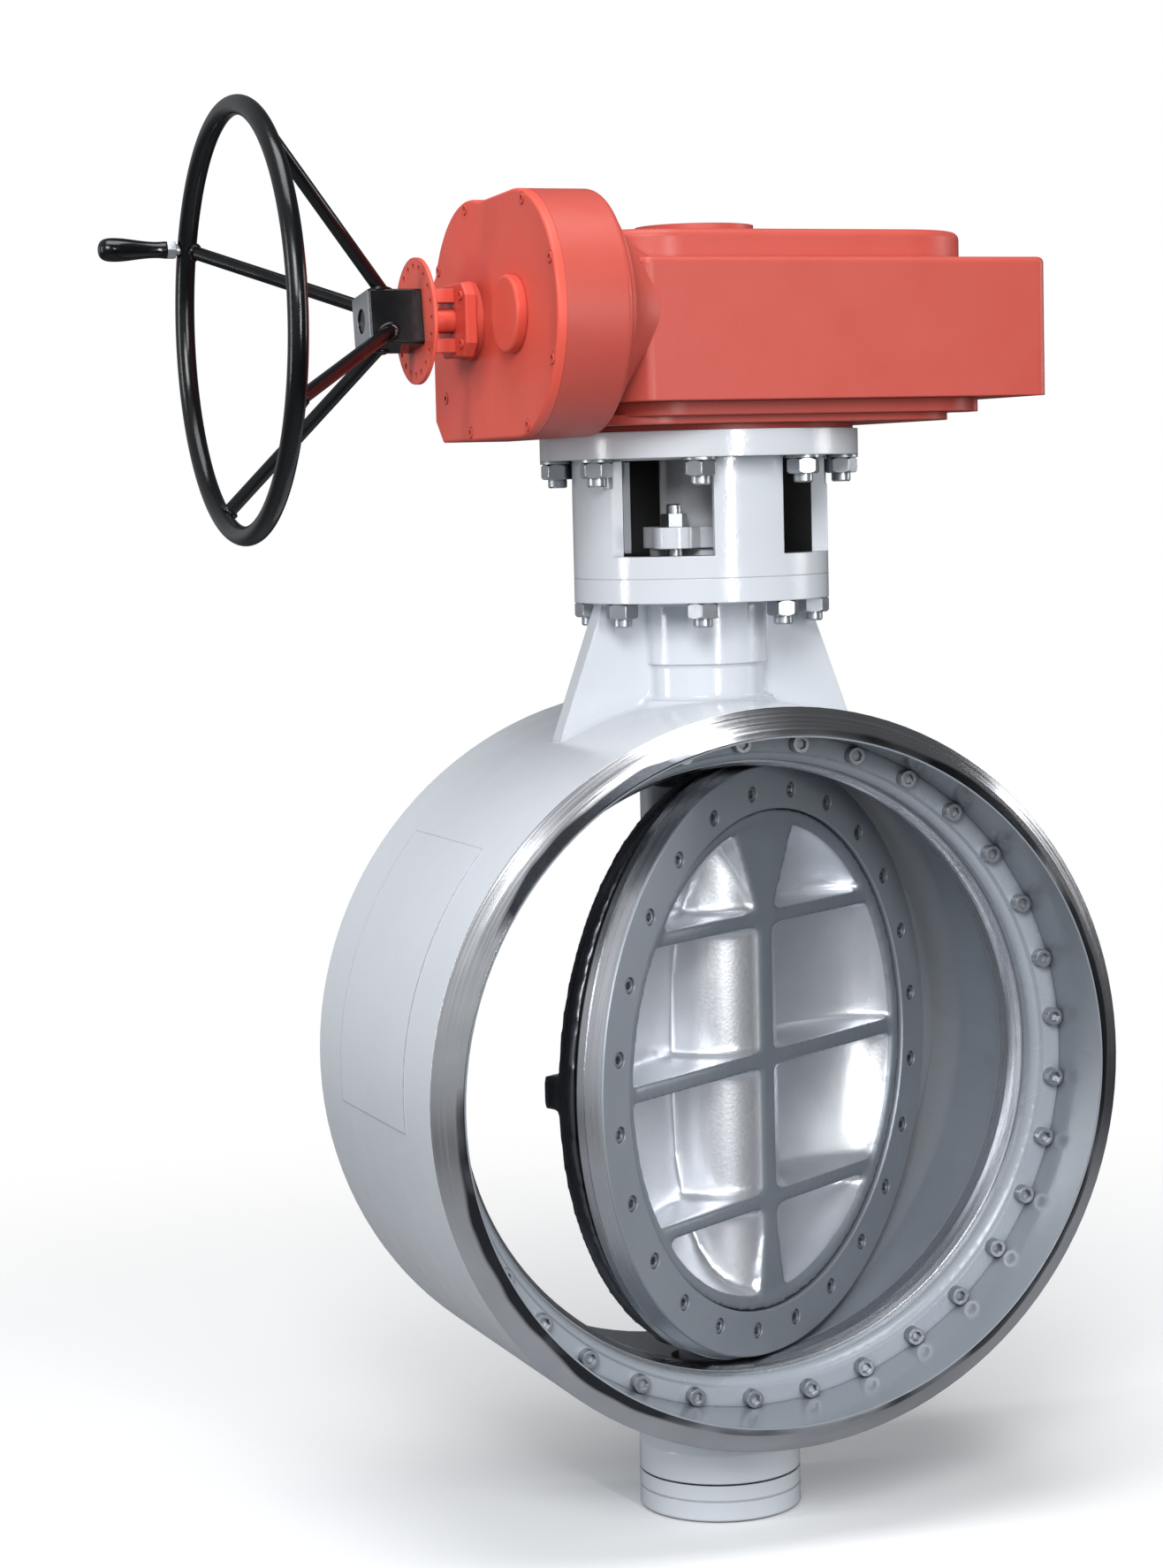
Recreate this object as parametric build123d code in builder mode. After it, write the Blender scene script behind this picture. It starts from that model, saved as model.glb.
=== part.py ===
"""Gear-operated butterfly valve with butt-weld ends.

Frame: origin where the stem axis crosses the pipe axis. +Z runs up the stem, Y is the pipe axis with
the inlet end towards -Y, and X is the worm axis with the handwheel towards -X. All sizes in mm.
"""

import os
from math import acos, cos, pi, radians, sin, tan

from build123d import *

os.makedirs("parts", exist_ok=True)

# ---- Driving dimensions ------------------------------------------------------------------------
PIPE_OD = 762.0              # 30 inch pipe
PIPE_ID = 702.0
WELD_BORE_R = 352.0          # machined counterbore at the outlet end
INLET_Y = -215.0             # root face of the inlet weld end
OUTLET_Y = 202.0
REST_OPENING = 33.2          # the disc stands this far open, in degrees

STEM_R = 42.0
RUNNING = 0.05               # radial clearance of a shaft in its bush
SEAL_R = 318.5               # disc seal edge
DISC_FACE_Y = -80.0          # front of the disc's ring with the valve closed
NECK_TOP_Z = 510.0           # joint between body and yoke
YOKE_TOP_Z = 660.0           # joint between yoke and gearbox
YOKE_R = 134.0
F30_PCD = 298.0              # ISO 5211 F30 bolt circle
YOKE_PCD = 234.0
STUDS = 8                    # on each of the two circles
STUD_START = 22.5

WORM_Y = -155.0              # worm axis, parallel to X
INPUT_Y = -25.0              # handwheel shaft axis, parallel to X
DRIVE_Z = 776.0              # height of both axes
WORM_MODULE = 6.0
WHEEL_TEETH = 40
SPUR_MODULE = 4.0
PINION_TEETH = 16
GEAR_TEETH = 49

CASE_X = -258.0              # outer face of the spur gear case
CASE_BACK_X = -179.0
BOX_Z = (688.0, 828.0)       # bottom and top of the worm gear housing
COVER_TOP_Z = 858.0
WHEEL_X = -501.0             # plane of the handwheel rim
WHEEL_R = 211.0
RIM_R = 10.0

PIPE_R = PIPE_OD / 2
RING_FRONT_Y = -126.0        # front of the body's retaining ring
SEAT_FRONT_Y = -100.0
SEAT_BACK_Y = -50.0


def save(piece, name):
    """Label a finished piece and write it as its own STEP file."""
    piece.part.label = name
    export_step(piece.part, f"parts/{name}.step")


def facing_inlet(y):
    """Plane square to the pipe at y, looking out of the inlet, with +Z up in it."""
    return Plane(origin=(0, y, 0), x_dir=(1, 0, 0), z_dir=(0, -1, 0))


def facing_handwheel(x):
    """Plane square to the worm at x, looking towards the handwheel; local x is -Y, local y is +Z."""
    return Plane(origin=(x, 0, 0), x_dir=(0, -1, 0), z_dir=(-1, 0, 0))


# The disc and its rings are drawn closed in this plane, which stands at the rest opening.
disc_xy = Plane.XY.rotated((0, 0, REST_OPENING))
disc_axis = Axis((0, 0, 0), disc_xy.y_dir)


def disc_front(y):
    """Plane parallel to the disc at depth y, looking out of its front, with +Z up in it."""
    return Plane(origin=disc_xy.y_dir * y, x_dir=disc_xy.x_dir, z_dir=-disc_xy.y_dir)


# ---- Valve body --------------------------------------------------------------------------------
BEVEL_OUT = 21.0             # length of each weld bevel along the pipe
BEVEL_STEP = 9.4             # a flatter first step before the main bevel
ROOT_R = 354.0
RIDGE_R = 368.0
BORE_R = 330.0               # water passage behind the seat
BUSH_R = 50.0
PACKING_R = 54.0
PACKING_Z = 425.0            # bottom of the packing box
NECK_R = 68.0
TRUNNION_R = 75.0
COLLAR_R = 86.4
COLLAR_Z = -445.0            # underside of the body's bottom collar
BODY_FLANGE_T = 25.0
GUSSET_T = 24.0
SCREW_CIRCLE_R = 341.0
BODY_SCREWS = 33
SCREW_START = 5.3            # angle of the first of them
COVER_SCREW_CIRCLE_R = 68.0  # bottom cover's screws
STUD_R = 10.0
GLAND_STUD_CIRCLE_R = 72.0
GLAND_TURN = 45.0            # the gland's two studs stand on this line across the pipe

with BuildPart() as valve_body:
    with BuildSketch(Plane.XY):
        with BuildLine():
            Polyline(
                (PIPE_ID / 2, INLET_Y),
                (ROOT_R, INLET_Y),
                (RIDGE_R, INLET_Y + BEVEL_OUT - BEVEL_STEP),
                (PIPE_R, INLET_Y + BEVEL_OUT),
                (PIPE_R, OUTLET_Y - BEVEL_OUT),
                (RIDGE_R, OUTLET_Y - BEVEL_OUT + BEVEL_STEP),
                (ROOT_R, OUTLET_Y),
                (WELD_BORE_R, OUTLET_Y),
                (WELD_BORE_R, OUTLET_Y - 30),
                (BORE_R, 130),
                (BORE_R, -30),
                (324, -36),
                (324, SEAT_BACK_Y),
                (329, SEAT_BACK_Y),
                (329, SEAT_FRONT_Y),
                (PIPE_ID / 2, SEAT_FRONT_Y),
                close=True,
            )
        make_face()
    revolve(axis=Axis.Y)
    # neck, its collar and the top flange
    with BuildSketch(Plane.XY.offset(345)):
        Circle(64)
    extrude(amount=75)
    with BuildSketch(Plane.XY.offset(419)):
        Circle(NECK_R)
    extrude(amount=NECK_TOP_Z - 419)
    with BuildSketch(Plane.XY.offset(NECK_TOP_Z - BODY_FLANGE_T)):
        Circle(YOKE_R)
    extrude(amount=BODY_FLANGE_T)
    # saddle pad where the neck is welded to the barrel
    with BuildSketch(Plane.XY.offset(340)):
        Circle(92)
    extrude(amount=42, taper=24)
    # gussets on both sides of the neck
    with BuildSketch(Plane.XZ.offset(-GUSSET_T / 2)):
        with BuildLine():
            Polyline((-50, 486), (-116, 486), (-168, 343), (-50, 343), close=True)
        make_face()
        mirror(about=Plane.YZ)
    extrude(amount=GUSSET_T)
    # weld and casting radii: gusset corners, foot of the neck, and under the flange
    neck_edges = valve_body.edges().filter_by_position(Axis.Z, 381, NECK_TOP_Z - BODY_FLANGE_T + 0.1)
    fillet(
        neck_edges.filter_by(Axis.Z) + [
            e for e in neck_edges.filter_by(GeomType.CIRCLE)
            if abs(e.radius - NECK_R) < 0.01 and e.center().Z > NECK_TOP_Z - BODY_FLANGE_T - 0.1
        ],
        radius=5,
    )
    # bottom trunnion and collar
    with BuildSketch(Plane.XY.offset(-345)):
        Circle(TRUNNION_R)
    extrude(amount=COLLAR_Z + 345)
    with BuildSketch(Plane.XY.offset(COLLAR_Z)):
        Circle(COLLAR_R)
    extrude(amount=40)
    chamfer(
        [e for e in valve_body.edges().filter_by(GeomType.CIRCLE)
         if abs(e.radius - COLLAR_R) < 0.01 and abs(e.center().Z - COLLAR_Z - 40) < 0.01],
        length=10,
    )
    # clear the water passage and the stem bores
    with BuildSketch(Plane.XZ.offset(-130)):
        Circle(BORE_R)
    extrude(amount=160, mode=Mode.SUBTRACT)
    with BuildSketch(Plane.XY.offset(COLLAR_Z)):
        Circle(BUSH_R)
    extrude(amount=PACKING_Z - COLLAR_Z, mode=Mode.SUBTRACT)
    with BuildSketch(Plane.XY.offset(PACKING_Z)):
        Circle(PACKING_R)
    extrude(amount=NECK_TOP_Z - PACKING_Z, mode=Mode.SUBTRACT)
    # tapped holes: retaining ring, yoke studs, gland studs, bottom cover
    with BuildSketch(facing_inlet(SEAT_FRONT_Y)):
        with PolarLocations(SCREW_CIRCLE_R, BODY_SCREWS, start_angle=SCREW_START):
            Circle(6)
    extrude(amount=-22, mode=Mode.SUBTRACT)
    with BuildSketch(Plane.XY.offset(NECK_TOP_Z - BODY_FLANGE_T)):
        with PolarLocations(YOKE_PCD / 2, STUDS, start_angle=STUD_START):
            Circle(STUD_R)
    extrude(amount=BODY_FLANGE_T, mode=Mode.SUBTRACT)
    with BuildSketch(Plane.XY.offset(NECK_TOP_Z - 20)):
        with PolarLocations(GLAND_STUD_CIRCLE_R, 2, start_angle=GLAND_TURN):
            Circle(8)
    extrude(amount=20, mode=Mode.SUBTRACT)
    with BuildSketch(Plane.XY.offset(COLLAR_Z)):
        with PolarLocations(COVER_SCREW_CIRCLE_R, 6):
            Circle(5)
    extrude(amount=18, mode=Mode.SUBTRACT)
save(valve_body, "valve_body")

NAMEPLATE_Y = (-110.0, 101.0)
NAMEPLATE_ANGLES = (-5.0, 40.5)   # up from -X round the barrel
with BuildPart() as nameplate:
    with BuildSketch(Plane.XZ.offset(-NAMEPLATE_Y[0])):
        Circle(PIPE_R + 1.2)
        Circle(PIPE_R, mode=Mode.SUBTRACT)
        low, high = [radians(180 - a) for a in NAMEPLATE_ANGLES]
        Polygon((0, 0), (600 * cos(high), 600 * sin(high)), (600 * cos(low), 600 * sin(low)),
                align=None, mode=Mode.INTERSECT)
    extrude(amount=NAMEPLATE_Y[0] - NAMEPLATE_Y[1])
save(nameplate, "nameplate")

# ---- Seat and its retaining ring -----------------------------------------------------------------
SEAT_NOSE_R = 314.0
SEAT_OPEN_R = 320.0

with BuildPart() as body_seat_ring:
    with BuildSketch(Plane.XY):
        with BuildLine():
            Polyline(
                (329, SEAT_FRONT_Y),
                (319, SEAT_FRONT_Y),
                (SEAT_NOSE_R + 1.4, -94),
                (SEAT_NOSE_R, -88),
                (SEAT_NOSE_R, DISC_FACE_Y),
                (SEAT_OPEN_R, SEAT_BACK_Y),
                (329, SEAT_BACK_Y),
                close=True,
            )
        make_face()
    revolve(axis=Axis.Y)
save(body_seat_ring, "body_seat_ring")

with BuildPart() as body_retaining_ring:
    with BuildSketch(Plane.XY):
        with BuildLine():
            outside = Polyline(
                (322, -112),
                (322, SEAT_FRONT_Y),
                (PIPE_ID / 2, SEAT_FRONT_Y),
                (PIPE_ID / 2, RING_FRONT_Y),
                (332, RING_FRONT_Y),
                (329.5, -121),
            )
            ThreePointArc(outside @ 1, (325, -118), outside @ 0)
        make_face()
    revolve(axis=Axis.Y)
    with BuildSketch(facing_inlet(RING_FRONT_Y)):
        with PolarLocations(SCREW_CIRCLE_R, BODY_SCREWS, start_angle=SCREW_START):
            Circle(6)
    extrude(amount=RING_FRONT_Y - SEAT_FRONT_Y, mode=Mode.SUBTRACT)
save(body_retaining_ring, "body_retaining_ring")

HEAD_H = 12.0
with BuildPart() as retaining_ring_screws:
    with BuildSketch(facing_inlet(SEAT_FRONT_Y + 20)):
        with PolarLocations(SCREW_CIRCLE_R, BODY_SCREWS, start_angle=SCREW_START):
            Circle(6)
    extrude(amount=SEAT_FRONT_Y + 20 - RING_FRONT_Y)
    with BuildSketch(facing_inlet(RING_FRONT_Y)):
        with PolarLocations(SCREW_CIRCLE_R, BODY_SCREWS, start_angle=SCREW_START):
            Circle(9)
    extrude(amount=HEAD_H)
    with BuildSketch(facing_inlet(RING_FRONT_Y - HEAD_H)):
        with PolarLocations(SCREW_CIRCLE_R, BODY_SCREWS, start_angle=SCREW_START):
            RegularPolygon(5.8, 6)
    extrude(amount=-6, mode=Mode.SUBTRACT)
save(retaining_ring_screws, "retaining_ring_screws")

# ---- Disc ----------------------------------------------------------------------------------------
RING_INNER_R = 265.0
LIP_R = 254.0
DISC_EDGE_R = 314.0
DISC_BACK_Y = -25.0          # back of the disc's rim
SEAL_FRONT_Y = -61.0
SEAL_BACK_Y = -53.0
GASKET_BACK_Y = -46.0
RIM_SEAT_R = 270.0           # the seal and gasket sit outside this step
HUB_R = 70.0
HUB_Z = 306.0
RIB_FACE_Y = -73.0
RIB_T = 17.0
RIB_SPACING = 150.0
WEB_T = 25.0
FLOOR_Y = 6.0                # dish floor at the middle
DISH_R = 250.0               # edge of the dish
DISH_EDGE_Y = -74.0
BACK_Y = 28.0                # back of the disc at the middle
DISC_SCREWS = 24
DISC_SCREW_R = 285.0
DISC_SCREW_START = 6.5
SCREW_TIP_Y = -34.0
SCREW_HEAD_Y = -69.0         # underside of the ring screws' heads
PIN_SPACING = 400.0
PIN_R = 12.0
PIN_TIP_Y = -44.0            # the pins are driven in from the back to here

with BuildPart() as valve_disc:
    with BuildSketch(disc_xy):
        with BuildLine():
            rim = Polyline(
                (DISH_R, DISH_EDGE_Y),
                (LIP_R, -76),
                (RING_INNER_R, -76),
                (RING_INNER_R, SEAL_FRONT_Y),
                (RIM_SEAT_R, SEAL_FRONT_Y),
                (RIM_SEAT_R, GASKET_BACK_Y),
                (DISC_EDGE_R, GASKET_BACK_Y),
                (DISC_EDGE_R - 2, DISC_BACK_Y),
                (262, -6),
            )
            ThreePointArc(rim @ 1, (140, BACK_Y - 8), (0, BACK_Y))
            Line((0, BACK_Y), (0, FLOOR_Y))
            Spline((0, FLOOR_Y), (120, FLOOR_Y - 6), (192, FLOOR_Y - 23), (236, FLOOR_Y - 51), rim @ 0)
        make_face()
    revolve(axis=disc_axis)
    with BuildSketch(Plane.XY.offset(-HUB_Z)):
        Circle(HUB_R)
    extrude(amount=2 * HUB_Z)
    # web and ribs inside the dish
    with BuildSketch(disc_front(0)) as ribs:
        Rectangle(WEB_T, 2 * 258)
        with GridLocations(0, RIB_SPACING, 1, 3):
            Rectangle(2 * 258, RIB_T)
        with BuildLine():
            Polyline((-66, 262), (66, 262), (WEB_T / 2, 150), (-WEB_T / 2, 150), close=True)
        make_face()
        with BuildLine():
            Polyline((-28, -262), (28, -262), (WEB_T / 2, -180), (-WEB_T / 2, -180), close=True)
        make_face()
        Circle(LIP_R + 4, mode=Mode.INTERSECT)
    extrude(amount=-RIB_FACE_Y)
    # ribs on the back of the disc
    with BuildSketch(disc_front(BACK_Y + 18)):
        with GridLocations(0, RIB_SPACING, 1, 3):
            Rectangle(2 * 145, RIB_T)
    extrude(amount=34)
    # stop lug on the back of the edge
    with BuildSketch(disc_front(-5)):
        with Locations((-297, 8)):
            RectangleRounded(26, 33, 4)
    extrude(amount=24)
    # the seat of the seal and its ring runs clear through the ends of the hub
    with BuildSketch(disc_xy):
        with BuildLine():
            Polyline(
                (RING_INNER_R, -100),
                (RING_INNER_R, SEAL_FRONT_Y),
                (RIM_SEAT_R, SEAL_FRONT_Y),
                (RIM_SEAT_R, GASKET_BACK_Y),
                (340, GASKET_BACK_Y),
                (340, -100),
                close=True,
            )
        make_face()
    revolve(axis=disc_axis, mode=Mode.SUBTRACT)
    with BuildSketch(Plane.XY.offset(-340)):
        Circle(STEM_R)
    extrude(amount=680, mode=Mode.SUBTRACT)
    # taper pin holes from the back, and tapped holes for the ring screws
    with BuildSketch(disc_front(HUB_R + 2)):
        with GridLocations(0, PIN_SPACING, 1, 2):
            Circle(PIN_R)
    extrude(amount=HUB_R + 2 - PIN_TIP_Y, mode=Mode.SUBTRACT)
    with BuildSketch(disc_front(SEAL_FRONT_Y)):
        with PolarLocations(DISC_SCREW_R, DISC_SCREWS, start_angle=DISC_SCREW_START):
            Circle(5)
    extrude(amount=-(SCREW_TIP_Y - SEAL_FRONT_Y), mode=Mode.SUBTRACT)
save(valve_disc, "valve_disc")

with BuildPart() as disc_seal_ring:
    with BuildSketch(disc_xy):
        with BuildLine():
            Polyline(
                (RIM_SEAT_R, SEAL_FRONT_Y),
                (SEAL_R - 1.2, SEAL_FRONT_Y),
                (SEAL_R, SEAL_BACK_Y),
                (RIM_SEAT_R, SEAL_BACK_Y),
                close=True,
            )
        make_face()
    revolve(axis=disc_axis)
    with BuildSketch(disc_front(SEAL_FRONT_Y)):
        with PolarLocations(DISC_SCREW_R, DISC_SCREWS, start_angle=DISC_SCREW_START):
            Circle(5)
    extrude(amount=SEAL_FRONT_Y - SEAL_BACK_Y, mode=Mode.SUBTRACT)
save(disc_seal_ring, "disc_seal_ring")

with BuildPart() as disc_seal_gasket:
    with BuildSketch(disc_front(GASKET_BACK_Y)):
        Circle(DISC_EDGE_R - 4)
        Circle(RIM_SEAT_R, mode=Mode.SUBTRACT)
        with PolarLocations(DISC_SCREW_R, DISC_SCREWS, start_angle=DISC_SCREW_START):
            Circle(5, mode=Mode.SUBTRACT)
    extrude(amount=GASKET_BACK_Y - SEAL_BACK_Y)
save(disc_seal_gasket, "disc_seal_gasket")

with BuildPart() as disc_retaining_ring:
    with BuildSketch(disc_xy):
        with BuildLine():
            Polyline(
                (RING_INNER_R, SEAL_FRONT_Y),
                (RING_INNER_R, DISC_FACE_Y + 1.5),
                (RING_INNER_R + 1.5, DISC_FACE_Y),
                (311, DISC_FACE_Y),
                (312, DISC_FACE_Y + 1),
                (SEAL_R - 2.2, SEAL_FRONT_Y),
                close=True,
            )
        make_face()
    revolve(axis=disc_axis)
    with BuildSketch(disc_front(DISC_FACE_Y)):
        with PolarLocations(DISC_SCREW_R, DISC_SCREWS, start_angle=DISC_SCREW_START):
            Circle(8.5)
    extrude(amount=DISC_FACE_Y - SCREW_HEAD_Y, mode=Mode.SUBTRACT)
    with BuildSketch(disc_front(SCREW_HEAD_Y)):
        with PolarLocations(DISC_SCREW_R, DISC_SCREWS, start_angle=DISC_SCREW_START):
            Circle(5)
    extrude(amount=SCREW_HEAD_Y - SEAL_FRONT_Y, mode=Mode.SUBTRACT)
save(disc_retaining_ring, "disc_retaining_ring")

with BuildPart() as disc_ring_screws:
    with BuildSketch(disc_front(SCREW_TIP_Y)):
        with PolarLocations(DISC_SCREW_R, DISC_SCREWS, start_angle=DISC_SCREW_START):
            Circle(5)
    extrude(amount=SCREW_TIP_Y - SCREW_HEAD_Y)
    with BuildSketch(disc_front(SCREW_HEAD_Y)):
        with PolarLocations(DISC_SCREW_R, DISC_SCREWS, start_angle=DISC_SCREW_START):
            Circle(7.8)
    extrude(amount=9)
    with BuildSketch(disc_front(SCREW_HEAD_Y - 9)):
        with PolarLocations(DISC_SCREW_R, DISC_SCREWS, start_angle=DISC_SCREW_START):
            RegularPolygon(4.6, 6)
    extrude(amount=-5, mode=Mode.SUBTRACT)
save(disc_ring_screws, "disc_ring_screws")

with BuildPart() as disc_taper_pins:
    with BuildSketch(disc_front(HUB_R - 2)):
        with GridLocations(0, PIN_SPACING, 1, 2):
            Circle(PIN_R)
    extrude(amount=HUB_R - 2 - PIN_TIP_Y)
save(disc_taper_pins, "disc_taper_pins")

# ---- Stem ----------------------------------------------------------------------------------------
STEM_BOTTOM_Z = -432.0
STEM_TOP_Z = 836.0
KEY_W = 22.0
KEY_Z = 702.0
HUB_TOP_Z = 836.0
INDICATOR_R = 10.0
POINTER_Z = COVER_TOP_Z + 4.0   # underside of the position pointer
INDICATOR_WINDOW_R = 44.0

with BuildPart() as valve_stem:
    with BuildSketch(Plane.XY.offset(STEM_BOTTOM_Z)):
        Circle(STEM_R)
    extrude(amount=STEM_TOP_Z - STEM_BOTTOM_Z)
    with BuildSketch(Plane.XY.offset(STEM_TOP_Z)):
        Circle(INDICATOR_R)
    extrude(amount=POINTER_Z - 0.3 - STEM_TOP_Z)
    with BuildSketch(Plane.XY.offset(700)):
        with Locations((STEM_R - 3, 0)):
            Rectangle(8, KEY_W)
    extrude(amount=110, mode=Mode.SUBTRACT)
    with BuildSketch(disc_front(HUB_R - 2)):
        with GridLocations(0, PIN_SPACING, 1, 2):
            Circle(PIN_R)
    extrude(amount=HUB_R - 2 - PIN_TIP_Y, mode=Mode.SUBTRACT)
save(valve_stem, "valve_stem")

with BuildPart() as stem_key:
    with BuildSketch(Plane.XY.offset(KEY_Z)):
        with Locations((STEM_R, 0)):
            Rectangle(14, KEY_W)
    extrude(amount=106)
save(stem_key, "stem_key")

with BuildPart() as upper_stem_bush:
    with BuildSketch(Plane.XY.offset(335)):
        Circle(BUSH_R)
        Circle(STEM_R + RUNNING, mode=Mode.SUBTRACT)
    extrude(amount=PACKING_Z - 335)
save(upper_stem_bush, "upper_stem_bush")

with BuildPart() as lower_stem_bush:
    with BuildSketch(Plane.XY.offset(-430)):
        Circle(BUSH_R)
        Circle(STEM_R + RUNNING, mode=Mode.SUBTRACT)
    extrude(amount=95)
save(lower_stem_bush, "lower_stem_bush")

with BuildPart() as stem_packing:
    for ring in range(4):
        with BuildSketch(Plane.XY.offset(PACKING_Z + 0.2 + 16.2 * ring)):
            Circle(PACKING_R)
            Circle(STEM_R + RUNNING, mode=Mode.SUBTRACT)
        extrude(amount=16)
save(stem_packing, "stem_packing")

GLAND_Z = 540.0
GLAND_T = 22.0
GLAND_STUD_R = 8.0
with BuildPart() as gland_bush:
    with BuildSketch(Plane.XY.offset(490)):
        Circle(PACKING_R - 0.3)
        Circle(STEM_R + RUNNING, mode=Mode.SUBTRACT)
    extrude(amount=GLAND_Z - 490)
save(gland_bush, "gland_bush")

gland_plane = Plane.XY.offset(GLAND_Z).rotated((0, 0, GLAND_TURN))
with BuildPart() as gland_flange:
    with BuildSketch(gland_plane):
        SlotCenterToCenter(2 * GLAND_STUD_CIRCLE_R, 44)
        Circle(60)
        Circle(STEM_R + 0.6, mode=Mode.SUBTRACT)
        with GridLocations(2 * GLAND_STUD_CIRCLE_R, 0, 2, 1):
            Circle(GLAND_STUD_R, mode=Mode.SUBTRACT)
    extrude(amount=GLAND_T)
    top_edges = gland_flange.edges().group_by(Axis.Z)[-1]
    fillet(top_edges.filter_by(GeomType.CIRCLE).sort_by(SortBy.RADIUS)[-1], 2)
save(gland_flange, "gland_flange")

with BuildPart() as gland_studs:
    with BuildSketch(gland_plane.offset(NECK_TOP_Z - 20 - GLAND_Z)):
        with GridLocations(2 * GLAND_STUD_CIRCLE_R, 0, 2, 1):
            Circle(GLAND_STUD_R)
    extrude(amount=586 - NECK_TOP_Z + 20)
    chamfer(gland_studs.edges().group_by(Axis.Z)[-1], 1.5)
save(gland_studs, "gland_studs")

with BuildPart() as gland_nuts:
    with BuildSketch(gland_plane.offset(GLAND_T)):
        with GridLocations(2 * GLAND_STUD_CIRCLE_R, 0, 2, 1):
            RegularPolygon(13.8, 6)
        with GridLocations(2 * GLAND_STUD_CIRCLE_R, 0, 2, 1):
            Circle(GLAND_STUD_R, mode=Mode.SUBTRACT)
    extrude(amount=14)
save(gland_nuts, "gland_nuts")

THRUST_Z = -440.0            # underside of the thrust washer
with BuildPart() as thrust_washer:
    with BuildSketch(Plane.XY.offset(THRUST_Z)):
        Circle(BUSH_R)
    extrude(amount=7.7)
save(thrust_washer, "thrust_washer")

GASKET_T = 2.0
with BuildPart() as bottom_cover_gasket:
    with BuildSketch(Plane.XY.offset(COLLAR_Z - GASKET_T)):
        Circle(COLLAR_R - 1)
        Circle(BUSH_R, mode=Mode.SUBTRACT)
        with PolarLocations(COVER_SCREW_CIRCLE_R, 6):
            Circle(5, mode=Mode.SUBTRACT)
    extrude(amount=GASKET_T)
save(bottom_cover_gasket, "bottom_cover_gasket")

BASE_Z = -486.0
with BuildPart() as bottom_cover:
    with BuildSketch(Plane.XY.offset(BASE_Z)):
        Circle(COLLAR_R)
    extrude(amount=COLLAR_Z - GASKET_T - BASE_Z)
    with BuildSketch(Plane.XY.offset(COLLAR_Z - GASKET_T)):
        Circle(BUSH_R)
    extrude(amount=THRUST_Z - COLLAR_Z + GASKET_T)
    # a shallow groove runs round the side, and the bottom edge is broken
    with BuildSketch(Plane.XY.offset(-465)):
        Circle(COLLAR_R)
        Circle(COLLAR_R - 1.2, mode=Mode.SUBTRACT)
    extrude(amount=1.6, mode=Mode.SUBTRACT)
    fillet(bottom_cover.edges().filter_by(GeomType.CIRCLE).group_by(Axis.Z)[0], 2.5)
    with BuildSketch(Plane.XY.offset(BASE_Z)):
        with PolarLocations(COVER_SCREW_CIRCLE_R, 6):
            Circle(8.5)
    extrude(amount=11, mode=Mode.SUBTRACT)
    with BuildSketch(Plane.XY.offset(BASE_Z + 11)):
        with PolarLocations(COVER_SCREW_CIRCLE_R, 6):
            Circle(5)
    extrude(amount=COLLAR_Z - GASKET_T - BASE_Z - 11, mode=Mode.SUBTRACT)
save(bottom_cover, "bottom_cover")

with BuildPart() as bottom_cover_screws:
    with BuildSketch(Plane.XY.offset(BASE_Z + 1)):
        with PolarLocations(COVER_SCREW_CIRCLE_R, 6):
            Circle(8.3)
        with PolarLocations(COVER_SCREW_CIRCLE_R, 6):
            RegularPolygon(4.6, 6, mode=Mode.SUBTRACT)
    extrude(amount=5)
    with BuildSketch(Plane.XY.offset(BASE_Z + 6)):
        with PolarLocations(COVER_SCREW_CIRCLE_R, 6):
            Circle(8.3)
    extrude(amount=5)
    with BuildSketch(Plane.XY.offset(BASE_Z + 11)):
        with PolarLocations(COVER_SCREW_CIRCLE_R, 6):
            Circle(5)
    extrude(amount=COLLAR_Z + 16 - BASE_Z - 11)
save(bottom_cover_screws, "bottom_cover_screws")

# ---- Yoke ----------------------------------------------------------------------------------------
YOKE_WALL = 17.5
WINDOW_Z = (533.0, 631.0)
WINDOW_SPREAD = 48.6         # degrees of each window
WINDOW_TURNS = (49, 131, -131, -49)   # so the posts at the sides are wider than front and back
TOP_FLANGE_R = 167.0
TOP_FLANGE_T = 27.0

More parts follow.
